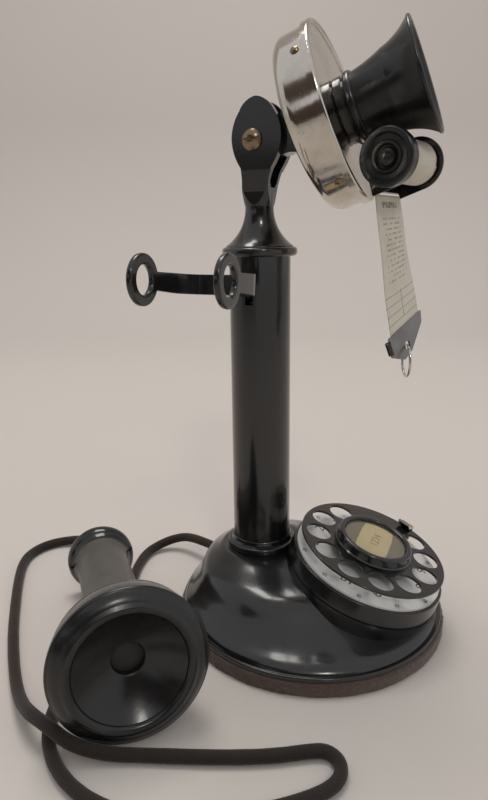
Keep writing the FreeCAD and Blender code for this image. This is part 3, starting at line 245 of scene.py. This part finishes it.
class Finish:
    """A material on the Principled shader, whose constants are set on its own sockets."""

    def __init__(self, name, **constants):
        self.material = bpy.data.materials.new(name)
        self.material.use_nodes = True
        self.tree = self.material.node_tree
        self.shader = self.tree.nodes["Principled BSDF"]
        self.place = self.node("TexCoord", out="Object")
        for socket, value in constants.items():
            self.shader.inputs[socket.replace("_", " ")].default_value = value

    def node(self, kind, settings=None, sockets=None, out=0):
        made = self.tree.nodes.new("ShaderNode" + kind)
        for setting, value in (settings or {}).items():
            setattr(made, setting, value)
        for socket, value in (sockets or {}).items():
            if isinstance(value, Value):
                self.tree.links.new(value.socket, made.inputs[socket])
            else:
                made.inputs[socket].default_value = value
        return Value(self, made.outputs[out])

    def noise(self, scale, detail=2.0, rough=0.5, place=None):
        return self.node("TexNoise", None, {
            "Vector": place or self.place, "Scale": scale, "Detail": detail, "Roughness": rough})

    def specks(self, scale, size):
        """Round spots, one in each cell."""
        return self.node("TexVoronoi", None, {"Vector": self.place, "Scale": scale}).below(size)

    def stretched(self, x, y, z):
        """Object place with each axis drawn out by a factor."""
        return self.node("Mapping", None, {"Vector": self.place, "Scale": (x, y, z)})

    def mix(self, share, first, second):
        """Colour between two, by a share."""
        first, second = ((*c, 1.0) if isinstance(c, tuple) else c for c in (first, second))
        return self.node("Mix", {"data_type": "RGBA"}, {0: share, 6: first, 7: second}, out=2)

    def bump(self, height, depth, strength=1.0):
        """Surface relief, depth in metres for a height of one."""
        relief = {"Strength": strength, "Distance": depth, "Height": height}
        self.set("Normal", self.node("Bump", None, relief))

    def set(self, socket, value):
        self.tree.links.new(value.socket, self.shader.inputs[socket])


def black_paint(name, colour, dusty, rough, peel):
    """Black gloss coat: cloudy roughness, a faint flow, fine scratches and dust specks."""
    f = Finish(name, Coat_Weight=0.5, Coat_Roughness=0.09)
    cloud = f.noise(38.0, 4.0, 0.6)
    patchy = f.noise(140.0, 5.0, 0.7)
    hair = f.noise(60.0, 2.0, 0.5, f.stretched(1.0, 14.0, 22.0))
    specks = f.specks(620.0, 0.055) * f.noise(90.0).above(0.56)
    dust = (cloud.ramp(0.45, 0.9) * 0.2 + specks * 0.7) * patchy.ramp(0.3, 0.7)
    f.set("Base Color", f.mix(dust, colour, dusty))
    f.set("Roughness", patchy.ramp(0.2, 0.85) * 0.08 + cloud.ramp(0.3, 0.75) * 0.05 + rough)
    f.bump(f.noise(420.0, 2.0) + hair.ramp(0.52, 0.6) * 0.25 + specks * 0.8, peel)
    return f.material


def moulded(name, colour, rubbed_colour, rough):
    """Moulded composition: satin gloss, a faint marbling and polish marks."""
    f = Finish(name, Specular_IOR_Level=0.55)
    marble = f.noise(60.0, 5.0, 0.65)
    polish = f.noise(210.0, 4.0, 0.7)
    f.set("Base Color", f.mix(marble.ramp(0.35, 0.75), colour, rubbed_colour))
    f.set("Roughness", polish.ramp(0.25, 0.8) * 0.13 + marble.ramp(0.3, 0.7) * 0.06 + rough)
    f.bump(f.noise(700.0, 3.0) + polish * 0.4, 0.000015)
    return f.material


def receiver_finish():
    """Receiver's shell: a satin tube between a glossy black bell and tail, the tube painted a
    lighter brownish grey as painted reflection of the pale wall.
    """
    f = Finish("receiver_moulding", Specular_IOR_Level=0.55)
    product = {"operation": "DOT_PRODUCT"}
    reach = f.node("VectorMath", product, {0: f.place, 1: RECEIVER_AXIS}, out=1) - RECEIVER_FACE
    tube = reach.between(TUBE_LOW, TUBE_HIGH)
    marble = f.noise(60.0, 5.0, 0.65)
    # The tube's lighter brownish grey below, varied by a stretched noise, is painted reflection of
    # the pale wall on the tube.
    patchy = f.noise(45.0, 4.0, 0.6, f.stretched(1.0, 1.0, 3.0)).ramp(0.35, 0.75)
    worn = f.mix(patchy, (0.052, 0.048, 0.041), (0.088, 0.080, 0.069))
    f.set("Base Color", f.mix(tube, f.mix(marble, MOULDING, RUBBED_MOULDING), worn))
    f.set("Roughness", f.noise(210.0, 4.0, 0.7) * 0.08 + tube * 0.24 + 0.12)
    f.bump(f.noise(700.0, 3.0), 0.00002)
    return f.material


def metal(name, colour, dull_colour, rough):
    """Metal: cloudy patina, a drawn grain and small dark spots."""
    f = Finish(name, Metallic=1.0)
    cloud = f.noise(55.0, 5.0, 0.65)
    drawn = f.noise(120.0, 3.0, 0.6, f.stretched(1.0, 6.0, 6.0))
    pits = f.specks(420.0, 0.16) * f.noise(70.0).above(0.55) * 0.5
    f.set("Base Color", f.mix(cloud.ramp(0.42, 0.78) * 0.7 + pits, colour, dull_colour))
    f.set("Roughness", cloud.ramp(0.35, 0.75) * 0.10 + drawn.ramp(0.3, 0.7) * 0.05
          + pits * 0.3 + rough)
    f.bump(drawn - pits, 0.000012)
    return f.material


def felt_finish():
    """Pressed wool: short fibres in every direction, darker where it is packed, soft sheen."""
    f = Finish("felt", Sheen_Weight=0.35, Sheen_Roughness=0.5, Specular_IOR_Level=0.15)
    fibres = f.noise(900.0, 6.0, 0.75, f.stretched(1.0, 1.0, 2.4))
    tufts = f.noise(260.0, 4.0, 0.6)
    worn = f.noise(34.0, 3.0)
    f.set("Base Color", f.mix(
        fibres.ramp(0.32, 0.7), (0.048, 0.031, 0.024), (0.135, 0.088, 0.068)))
    f.set("Roughness", tufts * 0.15 + 0.82)
    f.bump(fibres + tufts * 1.4 + worn * 0.6, 0.0006, 0.9)
    return f.material


def cord_finish():
    """Braided cotton: the strands' crowns painted lighter as painted highlight, the gaps darker as
    painted shade, with fine threads.
    """
    f = Finish("cord_braid", Sheen_Weight=0.25, Sheen_Roughness=0.45, Specular_IOR_Level=0.2)
    crown = f.node("Attribute", {"attribute_name": "height"}, out=2)
    thread = f.noise(1500.0, 3.0, 0.7)
    worn = f.noise(45.0, 3.0, 0.6)
    # Base colour by the braid's height: painted highlight on the strands' crowns, painted shade in
    # the gaps between them; threads and wear vary it at random.
    f.set("Base Color", f.mix(
        (crown.ramp(0.15, 1.0) * 0.75 + thread * 0.35) * (worn * 0.5 + 0.6),
        (0.007, 0.0058, 0.0050), (0.047, 0.036, 0.030)))
    f.set("Roughness", thread * 0.15 + 0.75)
    f.bump(thread * 0.6 + crown, 0.00018, 0.8)
    return f.material


def enamel_white_finish():
    """White vitreous enamel: slightly uneven, a trace of grime, glassy."""
    f = Finish("enamel_white", Coat_Weight=0.6, Coat_Roughness=0.08)
    cloud = f.noise(60.0, 4.0, 0.6)
    specks = f.specks(380.0, 0.07) * f.noise(120.0).above(0.58)
    f.set("Base Color", f.mix(
        cloud.ramp(0.5, 0.85) * 0.35 + specks * 0.5, (0.76, 0.755, 0.735), (0.52, 0.49, 0.44)))
    f.set("Roughness", cloud.ramp(0.3, 0.8) * 0.12 + 0.16)
    f.bump(f.noise(300.0, 2.0), 0.00003)
    return f.material


def card_finish(name, pale, foxed):
    """Paper or card: fibres, slight foxing."""
    f = Finish(name, Specular_IOR_Level=0.25)
    fibres = f.noise(1400.0, 5.0, 0.8)
    stain = f.noise(80.0, 4.0, 0.6)
    f.set("Base Color", f.mix(
        stain.ramp(0.45, 0.8) * 0.5 + fibres.ramp(0.4, 0.8) * 0.15, pale, foxed))
    f.set("Roughness", fibres * 0.2 + 0.68)
    f.bump(fibres, 0.00004)
    return f.material


def printed_finish():
    """Paper strip printed with plain rules: a heading bar, rows of short grey dashes,
    and a ruled box near its foot. Across and down run 0 to 1 over the strip."""
    f = Finish("printed_paper", Specular_IOR_Level=0.25)
    across = f.node("SeparateXYZ", None, {0: f.node("UVMap")})
    down = Value(f, across.socket.node.outputs[1])
    fibres = f.noise(1400.0, 5.0, 0.8)
    stain = f.noise(90.0, 4.0, 0.6)
    row = down * PRINTED_ROWS
    place = f.node("CombineXYZ", None, {0: across * 16.0, 1: row.maths("FLOOR") * 7.3})
    word = f.node("TexNoise", {"noise_dimensions": "2D"}, {
        "Vector": place, "Scale": 1.0, "Detail": 1.0})
    dashes = (row.maths("FRACT").between(0.36, 0.72) * word.above(0.47)
              * across.between(0.16, 0.84) * down.between(0.16, 0.66))
    heading = down.between(0.05, 0.095) * across.between(0.22, 0.78) * word.above(0.38)
    rules = (down * BOX_ROWS).maths("FRACT").below(0.10) * down.between(0.70, 0.95)
    upright = (across - 0.5).maths("ABSOLUTE").below(0.012) * down.between(0.72, 0.93)
    ink = (dashes * 0.55).larger(heading * 0.75).larger(rules * 0.6).larger(upright * 0.6)
    age = stain.ramp(0.45, 0.8) * 0.5 + fibres.ramp(0.4, 0.8) * 0.12
    paper = f.mix(age, (0.66, 0.62, 0.53), (0.52, 0.46, 0.36))
    f.set("Base Color", f.mix(ink * (fibres * 0.5 + 0.6), paper, (0.11, 0.10, 0.09)))
    f.set("Roughness", fibres * 0.2 + 0.62)
    f.bump(fibres, 0.00004)
    return f.material


def window_finish():
    """Clear celluloid: mostly see-through, with a soft gloss that grows at a flat angle."""
    f = Finish("window", Specular_IOR_Level=0.6)
    f.set("Base Color", f.mix(f.noise(70.0, 3.0), (0.55, 0.52, 0.44), (0.40, 0.36, 0.28)))
    f.set("Roughness", f.noise(160.0, 4.0, 0.7) * 0.12 + 0.08)
    clear = f.node("BsdfTransparent", None, {0: (0.96, 0.95, 0.91, 1.0)})
    gloss = f.node("LayerWeight", None, {0: 0.25}) * 0.35 + 0.03
    mixed = f.node("MixShader", None, {0: gloss, 1: clear, 2: Value(f, f.shader.outputs[0])})
    f.tree.links.new(mixed.socket, f.tree.nodes["Material Output"].inputs["Surface"])
    return f.material


def board_finish(name, dark, pale, rough):
    """Pressed board and dull inner pieces: fine fibres."""
    f = Finish(name)
    fibres = f.noise(700.0, 5.0, 0.7, f.stretched(1.0, 3.0, 3.0))
    f.set("Base Color", f.mix(fibres.ramp(0.3, 0.75), dark, pale))
    f.set("Roughness", fibres * 0.2 + rough)
    f.bump(fibres, 0.00008)
    return f.material


def wound_finish():
    """Fine silk-covered wire in close turns."""
    f = Finish("copper_coil")
    turns = f.node("SeparateXYZ", None, {0: f.place}, out=2).wave(2200.0)
    shade = f.noise(240.0, 4.0, 0.6)
    f.set("Base Color", f.mix(turns * 0.6 + shade * 0.4, (0.09, 0.03, 0.015), (0.33, 0.13, 0.07)))
    f.set("Roughness", shade * 0.2 + 0.5)
    f.bump(turns, 0.00015)
    return f.material


def ink_finish():
    """Fired or printed black figures, slightly worn."""
    f = Finish("figure_ink")
    worn = f.noise(420.0, 4.0, 0.7)
    f.set("Base Color", f.mix(
        worn.ramp(0.45, 0.85) * 0.5, (0.020, 0.020, 0.022), (0.16, 0.155, 0.15)))
    f.set("Roughness", worn * 0.2 + 0.3)
    return f.material


FINISHES = {
    "black_enamel": black_paint(
        "black_enamel", (0.0080, 0.0080, 0.0084), (0.024, 0.022, 0.020), 0.15, 0.00002),
    "black_moulding": moulded("black_moulding", MOULDING, RUBBED_MOULDING, 0.15),
    "nickel": metal("nickel", (0.66, 0.62, 0.56), (0.42, 0.36, 0.29), 0.07),
    "bright_steel": metal("bright_steel", (0.52, 0.50, 0.47), (0.34, 0.30, 0.26), 0.25),
    "brass": metal("brass", (0.27, 0.20, 0.13), (0.13, 0.095, 0.065), 0.20),
    "spring_brass": metal("spring_brass", (0.58, 0.42, 0.22), (0.38, 0.26, 0.13), 0.28),
    "felt": felt_finish(),
    "cord_braid": cord_finish(),
    "enamel_white": enamel_white_finish(),
    "card": card_finish("card", (0.68, 0.58, 0.38), (0.50, 0.38, 0.21)),
    "paper": card_finish("paper", (0.62, 0.58, 0.50), (0.47, 0.41, 0.32)),
    "window": window_finish(),
    "block_brown": board_finish("block_brown", (0.08, 0.032, 0.018), (0.17, 0.075, 0.04), 0.5),
    "carbon": board_finish("carbon", (0.012, 0.012, 0.012), (0.04, 0.038, 0.036), 0.6),
    "copper_coil": wound_finish(),
    "inner_metal": metal("inner_metal", (0.58, 0.57, 0.55), (0.40, 0.38, 0.35), 0.3),
}
PRINTED = printed_finish()
INK = ink_finish()
FADED_INK = card_finish("faded_ink", (0.30, 0.20, 0.10), (0.22, 0.14, 0.07))
CARD_GREY = card_finish("card_grey", (0.090, 0.084, 0.074), (0.060, 0.054, 0.046))
TAB_STEEL = metal("tab_steel", (0.27, 0.26, 0.25), (0.19, 0.18, 0.17), 0.34)


def dress(piece, finish, body=None, stands_for=()):
    """Material, slot, body and replaced nodes of a finished piece."""
    piece.data.materials.clear()
    piece.data.materials.append(finish)
    if body:
        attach(piece, body)
    if stands_for:
        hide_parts(*stands_for)
    return piece


for part in frame["record"]["subparts"]:
    dress(NODES[part["node"]], FINISHES[part["material_slot"]])
dress(NODES["receiver_shell"], receiver_finish())
dress(NODES["strip_tab"], TAB_STEEL)
dress(NODES["number_card"], CARD_GREY)


# ---------------------------------------------------------------- receiver cord

CORD_DIAMETER = 5.4
# The braid's strands each way, and the length of its diamonds (mm)
CORD_STRANDS, CORD_DIAMOND = 12, 1.35
# The length of the cord's last part, up to the receiver, and the space of its rings (metres)
CORD_RISE, CORD_STEP = 0.070, 0.0005
CORD_TURNS = np.linspace(0, FULL, 48, endpoint=False)
# The cord's way in mm, from the stand's bushing to the receiver's tail
CORD_ROUTE = [
    (21.8, 39.3, 11.4), (25.9, 51.7, 11.4), (30.1, 64.4, 9.6), (28.4, 74.0, 6.6),
    (22.0, 81.0, 4.0), (12.6, 84.0, 2.9), (-4.0, 80.5, 2.9), (-21.0, 73.5, 2.9),
    (-40.0, 66.5, 2.9), (-60.0, 61.5, 2.9), (-80.0, 58.5, 2.9), (-101.0, 56.0, 2.9),
    (-120.0, 50.5, 2.9), (-134.0, 40.0, 2.9), (-143.0, 26.0, 2.9), (-147.5, 10.0, 2.9),
    (-147.0, -8.0, 2.9), (-141.0, -27.0, 2.9), (-131.5, -44.0, 2.9), (-121.0, -58.5, 2.9),
    (-111.5, -68.2, 2.9), (-103.8, -71.4, 2.9), (-97.0, -69.2, 2.9), (-94.2, -63.0, 2.9),
    (-97.6, -56.0, 2.9), (-104.0, -45.5, 2.9), (-111.0, -30.0, 2.9), (-117.5, -12.5, 2.9),
    (-123.0, 3.0, 2.9), (-128.5, 16.5, 3.6), (-133.5, 29.0, 8.2), (-132.4, 39.0, 11.3),
    (-130.3, 48.0, 11.3), (-126.5, 56.5, 9.2), (-120.0, 66.0, 5.4), (-110.5, 77.5, 3.0),
    (-97.5, 91.0, 2.9), (-80.5, 107.0, 2.9), (-62.0, 122.5, 2.9), (-44.0, 137.0, 2.9),
    (-28.0, 148.5, 2.9), (-15.5, 153.5, 2.9), (-2.5, 151.5, 2.9), (7.0, 143.0, 3.1),
    (9.5, 130.5, 5.0), (5.5, 118.5, 8.8), (-3.5, 109.0, 13.2), (-14.6, 100.1, 16.7),
    (-23.5, 92.3, 18.17),
]


def read(values, what, size):
    """A mesh's values as rows of a size."""
    rows = np.zeros(len(values) * size)
    values.foreach_get(what, rows)
    return rows.reshape(-1, size)


def route_line(route, step):
    """Points a step apart on the NURBS spline whose control points are the route's points,
    and their way along it."""
    data = bpy.data.curves.new("cord_route", "CURVE")
    data.dimensions = "3D"
    spline = data.splines.new("NURBS")
    spline.points.add(len(route) - 1)
    spline.points.foreach_set("co", np.c_[TABLE(route), np.ones(len(route))].ravel())
    spline.order_u = 3
    spline.use_endpoint_u = True
    spline.resolution_u = 16
    holder = bpy.data.objects.new("cord_route", data)
    co = read(bpy.data.meshes.new_from_object(holder).vertices, "co", 3)
    bpy.data.objects.remove(holder)
    gone = np.r_[0, np.cumsum(np.linalg.norm(np.diff(co, axis=0), axis=1))]
    at = np.linspace(0, gone[-1], int(round(gone[-1] / step)) + 1)
    return np.stack([np.interp(at, gone, co[:, k]) for k in range(3)], -1), at


def braid(turn, way):
    """Height of a plain braid: two sets of strands wind opposite ways, and in each diamond
    one lies over the other. A strand's crown is a half sine across it and a flatter one
    along the diamond."""
    first = turn * CORD_STRANDS / FULL + way / CORD_DIAMOND
    second = turn * CORD_STRANDS / FULL - way / CORD_DIAMOND
    a, b = np.sin(math.pi * (first % 1)), np.sin(math.pi * (second % 1))
    over = (np.floor(first) + np.floor(second)) % 2 < 1
    return np.where(over, a ** 0.6 * (0.55 + 0.45 * b), b ** 0.6 * (0.55 + 0.45 * a))


def cord_piece(name, line, way, height, knots):
    """Closed braided tube round a stretch of the cord's line, its radius raised by the braid
    and thinned out to a point at the first and last rows of its way."""
    forward = unit(np.gradient(line, axis=0))
    side = unit(np.cross(forward, (0, 0, 1.0)))
    over = np.cross(forward, side)
    radius = (CORD_DIAMETER / 2 - 0.22 + 0.26 * height + 0.03 * knots[None, :]) * MM
    radius = radius * np.where((way == way[0]) | (way == way[-1]), 1e-6, 1.0)
    turn = CORD_TURNS[:, None, None]
    out = np.cos(turn) * side[None] + np.sin(turn) * over[None]
    points = line[None] + radius[..., None] * out
    piece = closed(surface(name, points, (True, False), shape=height))
    dress(piece, FINISHES["cord_braid"], stands_for=["receiver_cord"])
    return piece


def cord():
    """Braided receiver cord: its long part lies with the stand, its last part rises to the
    receiver. Each part's closed end lies one step inside the other."""
    line, way = route_line(CORD_ROUTE, CORD_STEP)
    height = braid(CORD_TURNS[:, None], way[None, :] / MM)
    rng = np.random.default_rng(5)
    knots = np.interp(way, np.linspace(0, way[-1], 160), rng.normal(0, 1, 160))
    cut = int(np.argmin(np.abs(way - (way[-1] - CORD_RISE))))

    def stretch(name, rows):
        return cord_piece(name, line[rows], way[rows], height[:, rows], knots[rows])

    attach(stretch("receiver_cord_braided", slice(0, cut + 2)), "stand")
    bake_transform(stretch("receiver_cord_end", slice(cut - 1, None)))


cord()


# ---------------------------------------------------------------- felt under the foot

# The felt cup's outer radius, its edges' rounding, its height, its inner radius and floor (mm)
FELT_RADIUS, FELT_EDGE, FELT_TOP, FELT_INSIDE, FELT_FLOOR = 70.1, 1.3, 6.6, 65.8, 1.8
# The waves round its uneven side, how high they are and the radius they start at
FELT_WAVES, FELT_LUMP, FELT_FUZZ_FROM = 26, 0.22, 66.5


def felt():
    """Felt cup round the foot: the CAD profile with softened edges and an uneven outer side."""
    rng = np.random.default_rng(11)
    waves = rng.integers(5, 170, FELT_WAVES)
    phase = rng.uniform(0, FULL, (FELT_WAVES, 2))
    size = FELT_LUMP / np.sqrt(waves)

    def uneven(angle, r, z):
        lumps = sum(s * np.sin(w * angle + p[0] + 0.9 * z) for s, w, p in zip(size, waves, phase))
        return lumps * np.clip((r - FELT_FUZZ_FROM) / 2.0, 0, 1)

    bend = np.linspace(0, math.pi / 2, 7)
    shoulder = FELT_RADIUS - FELT_EDGE
    low = np.c_[shoulder + FELT_EDGE * np.sin(bend), FELT_EDGE - FELT_EDGE * np.cos(bend)]
    high = np.c_[shoulder + FELT_EDGE * np.cos(bend),
                 FELT_TOP - FELT_EDGE + FELT_EDGE * np.sin(bend)]
    wall = along([low[-1], high[0]], 0.5)[1:-1]
    under = [[0, 0], [30, 0], [60, 0]]
    inside = [[FELT_INSIDE + 0.6, FELT_TOP], [FELT_INSIDE, FELT_TOP - 0.3],
              [FELT_INSIDE, FELT_FLOOR], [30, FELT_FLOOR], [0, FELT_FLOOR]]
    profile = np.vstack([under, low, wall, high, inside])
    piece = revolved("base_felt_cup", profile, BASE, 540, uneven)
    dress(piece, FINISHES["felt"], "stand", ["base_felt"])


felt()


# ---------------------------------------------------------------- directory roll and strip

# The paper roll's half length, core, radius and turns, and the strip's half width and
# thickness (mm), and the rows and columns of its grid
ROLL_HALF, ROLL_CORE, ROLL_RADIUS, ROLL_TURNS = 12.9, 2.2, 9.75, 17
STRIP_HALF, STRIP_THICK = 13.5, 0.22
STRIP_ROWS, STRIP_COLUMNS = 61, 25


def paper_roll():
    """Roll of paper: the outer turn is a spiral that closes with a step, and the ends show
    the turns as ridges."""
    steps = ROLL_TURNS * 4 + 1
    rise = 0.12 * np.sin(np.arange(steps) * math.pi / 2)
    left = np.c_[np.linspace(ROLL_CORE, ROLL_RADIUS, steps), -ROLL_HALF + 0.15 + rise]
    right = left[::-1] * (1, -1)
    side = along([(ROLL_RADIUS, -ROLL_HALF), (ROLL_RADIUS, ROLL_HALF)], 2.0)
    core = [[ROLL_CORE, ROLL_HALF - 0.2], [ROLL_CORE, 0.2 - ROLL_HALF]]

    def spiral(angle, r, z):
        return -0.32 * ((angle / FULL + 0.72) % 1.0) * (r / ROLL_RADIUS)

    place = Place(ROLL.origin, x=(0, 0, 1), y=-ROLL.axes[1], z=ROLL.axes[0])
    profile = np.vstack([left, side, right, core])
    piece = revolved("paper_roll_turns", profile, place, 144, spiral)
    dress(piece, FINISHES["paper"], "roll", ["paper_roll"])


paper_roll()


def thickened(name, middle, normal, thick):
    """Sheet with two faces: the grid moved half the thickness each way along its normals.
    Gives it with the corners of the faces that close its two ends."""
    rows, columns = middle.shape[:2]
    front = middle + normal * (thick / 2)
    back = (middle - normal * (thick / 2))[:, ::-1]
    piece = surface(name, np.concatenate([front, back], 1), (False, True))
    last = 2 * columns - 1
    ends = [(first + k, first + k + 1, first + last - 1 - k, first + last - k)
            for first in (0, (rows - 1) * 2 * columns) for k in range(columns - 1)]
    return piece, ends


def close_ends(piece, ends):
    """Adds the strip's end faces, and lays its UV over both faces alike."""
    work = bmesh.new()
    work.from_mesh(piece.data)
    work.verts.ensure_lookup_table()
    for corners in ends:
        work.faces.new([work.verts[c] for c in corners])
    bmesh.ops.recalc_face_normals(work, faces=work.faces)
    layer = work.loops.layers.uv.active
    for face in work.faces:
        for loop in face.loops:
            row, column = divmod(loop.vert.index, 2 * STRIP_COLUMNS)
            column = min(column, 2 * STRIP_COLUMNS - 1 - column)
            loop[layer].uv = (column / (STRIP_COLUMNS - 1), row / (STRIP_ROWS - 1))
    work.to_mesh(piece.data)
    work.free()


def paper_strip():
    """Printed strip: rows go from the case to the tab, turning with it, a little hollow."""
    drop = np.linspace(0, 1, STRIP_ROWS)[:, None, None]
    across = np.linspace(-1, 1, STRIP_COLUMNS)[None, :, None]
    top_centre, low_centre = ROLL((0, 7.6, -14.2)), TAB((0, 0.4, 0))
    top_way, low_way = ROLL.axes[0], TAB.axes[0]
    top_normal, low_normal = -ROLL.axes[1], TAB.axes[2]
    ease = drop * drop * (3 - 2 * drop)
    share = 0.65 * drop + 0.35 * ease
    way = unit(top_way * (1 - share) + low_way * share)
    normal = unit(top_normal * (1 - share) + low_normal * share)
    normal = unit(normal - (normal * way).sum(-1, keepdims=True) * way)
    centre = top_centre * (1 - drop) + low_centre * drop
    curl = (1 - across ** 2) * 0.9 * np.sin(math.pi * drop) * MM
    ripple = 0.35 * MM * np.sin(math.pi * drop) * np.sin(7.0 * drop + 1.2 * across)
    sag = 0.4 * MM * np.sin(math.pi * drop)
    middle = centre + way * across * STRIP_HALF * MM + normal * (curl + ripple - sag)
    normals = unit(np.cross(np.gradient(middle, axis=0), np.gradient(middle, axis=1)))
    piece, ends = thickened("paper_strip_printed", middle, normals, STRIP_THICK * MM)
    close_ends(piece, ends)
    dress(piece, PRINTED, "sheet", ["paper_strip"])
    up = top_centre - low_centre
    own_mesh(piece)


paper_strip()


# ---------------------------------------------------------------- figures and card on the dial

# The number card's top over the wheel's middle plane, and the label's half length (mm)
CARD_TOP, CARD_REACH = 3.70, 15.2


def figure(text, size):
    """Flat outline of a figure as a mesh's points (mm) and faces, centred on its own middle."""
    data = bpy.data.curves.new("figure", "FONT")
    data.body, data.size = text, size
    data.extrude, data.resolution_u = 0.03, 4
    holder = bpy.data.objects.new("figure", data)
    mesh = bpy.data.meshes.new_from_object(holder)
    bpy.data.objects.remove(holder)
    co = read(mesh.vertices, "co", 3)
    co[:, :2] -= (co[:, :2].max(0) + co[:, :2].min(0)) / 2
    return co, [tuple(p.vertices) for p in mesh.polygons]


def figures(name, rows, height, body, finish=INK):
    """Figures (text, size, x, y) set upright on the dial's plane, joined in one piece."""
    points, faces, count = [], [], 0
    for text, size, x, y in rows:
        co, polygons = figure(text, size)
        points.append(co + (x, y, height))
        faces += [tuple(k + count for k in p) for p in polygons]
        count += len(co)
    mesh = bpy.data.meshes.new(name)
    mesh.from_pydata(DIAL(np.vstack(points)).tolist(), [], faces)
    return dress(linked(name, mesh, smooth=False), finish, body)


def ringed(texts, size, wide, tall, first):
    """Rows of figures every 30 degrees from the first angle, on a ring's two half widths."""
    turns = [math.radians(first + 30 * k) for k in range(len(texts))]
    return [(text, size, wide * math.cos(turn), tall * math.sin(turn))
            for text, turn in zip(texts, turns)]


def dial_figures():
    """Numbers 1 to 0 under the finger holes, and small numbers at the plate's edge."""
    holes = [str((k + 1) % 10) for k in range(10)]
    edge = [str(5 * (k + 1)) for k in range(12)]
    figures("dial_figures", ringed(holes, 7.4, 29.3, 29.3, 50), -6.45, "stand")
    figures("edge_figures", ringed(edge, 2.9, 35.6, 35.9, 35), -6.46, "stand")


dial_figures()


def number_label():
    """Cream card across the centre: straight long sides, ends that follow the ring."""
    half_tall = 0.56 * CARD_REACH
    ends = math.asin(half_tall / CARD_REACH) * np.linspace(-1, 1, 17)
    right = CARD_REACH * np.c_[np.cos(ends), np.sin(ends)]
    ring = np.vstack([right, -right])
    soft = (np.roll(ring, 1, 0) + np.roll(ring, -1, 0) + 2 * ring) / 4
    shares = np.array([0.0, 0.35, 0.7, 0.96, 1.0, 1.0])
    levels = CARD_TOP + np.array([0.08, 0.08, 0.08, 0.08, 0.06, 0.02])
    plan = soft[:, None] * shares[None, :, None]
    heights = np.broadcast_to(levels[None, :, None], (*plan.shape[:2], 1))
    points = np.concatenate([plan, heights], -1)
    piece = closed(surface("number_label", DIAL(points[:, ::-1]), (True, False)))
    dress(piece, FINISHES["card"], "wheel")
    rows = [("1234", 6.0, 1.2, -0.4)]
    figures("label_figures", rows, CARD_TOP + 0.12, "wheel", FADED_INK)


number_label()


# ---------------------------------------------------------------- the studio

# Dark panels that the nickel mirrors: place, half width, lowest and highest edge (metres)
ROOM = (
    ("room_behind", (-1.35, -0.65), 0.9, 0.25, 0.95),
    ("room_left_low", (-1.25, 0.55), 0.75, 0.03, 0.42),
    ("room_left_high", (-1.25, 0.45), 0.6, 0.62, 1.25),
)
# Soft lamps: place, aim, size (metres), power (watts) and colour
LAMPS = (
    ("overhead", (0.35, 0.25, 1.7), (0, 0, 0.1), 0.7, 12.0, (1.0, 0.97, 0.92)),
    ("left_lamp", (-1.3, -0.9, 1.5), (0, 0, 0.15), 0.25, 5.0, (1.0, 0.96, 0.9)),
)
WORLD_COLOUR, WORLD_STRENGTH = (0.97, 0.975, 1.0, 1.0), 0.62
# Where the floor ends and starts to bend up, the bend's radius and the backdrop (metres)
FLOOR_END, FLOOR_BEND, BACKDROP = 0.9, 0.5, 1.4


def studio_floor():
    """Plain pale floor that curves up into a backdrop across the camera's heading."""
    ways = np.linspace(-2.6, 2.6, 27)
    flat = np.linspace(-2.2, FLOOR_END, 18)
    bend = np.linspace(0, math.pi / 2, 20)[1:]
    curve = np.vstack([
        np.c_[flat, np.zeros_like(flat)],
        np.c_[FLOOR_END + FLOOR_BEND * np.sin(bend), FLOOR_BEND - FLOOR_BEND * np.cos(bend)],
        [[BACKDROP, 1.4], [BACKDROP, 3.0]]])
    heading = CAMERA_TURN[0]
    back = np.array((-math.sin(heading), math.cos(heading), 0))
    side = np.array((math.cos(heading), math.sin(heading), 0))
    points = (ways[:, None, None] * side + curve[None, :, :1] * back
              + curve[None, :, 1:] * np.array((0, 0, 1.0)))
    floor = surface("floor", points)
    f = Finish("floor", Specular_IOR_Level=0.2)
    tone = f.noise(3.0, 2.0)
    f.set("Base Color", f.mix(tone, (0.62, 0.575, 0.535), (0.60, 0.555, 0.515)))
    f.set("Roughness", tone * 0.1 + 0.8)
    f.bump(f.noise(420.0, 4.0, 0.6), 0.00008)
    floor.data.materials.append(f.material)


def studio_room():
    """Dark upright panels round the object, out of the picture."""
    f = Finish("room", Specular_IOR_Level=0.1)
    f.set("Base Color", f.mix(f.noise(2.0, 2.0), (0.060, 0.045, 0.034), (0.10, 0.078, 0.060)))
    for name, place, half, low, high in ROOM:
        middle = np.array((*place, 0.0))
        across = np.array((-place[1], place[0], 0.0)) / math.hypot(*place)
        corners = [[middle + w * across + (0, 0, h) for h in (low, high)] for w in (-half, half)]
        wall = surface(name, np.array(corners))
        wall.data.materials.append(f.material)


def studio_light():
    """A world of even light and soft lamps."""
    world = bpy.data.worlds.new("world")
    bpy.context.scene.world = world
    world.use_nodes = True
    light = world.node_tree.nodes["Background"]
    light.inputs["Color"].default_value = WORLD_COLOUR
    light.inputs["Strength"].default_value = WORLD_STRENGTH
    for name, place, aim, size, power, colour in LAMPS:
        lamp = bpy.data.lights.new(name, "AREA")
        lamp.size, lamp.energy, lamp.color = size, power, colour
        holder = bpy.data.objects.new(name, lamp)
        holder.location = place
        away = Vector(aim) - Vector(place)
        holder.rotation_euler = away.to_track_quat("-Z", "Y").to_euler()
        bpy.context.scene.collection.objects.link(holder)


studio_floor()
studio_room()
studio_light()

scene = bpy.context.scene
scene.view_settings.view_transform = "Standard"
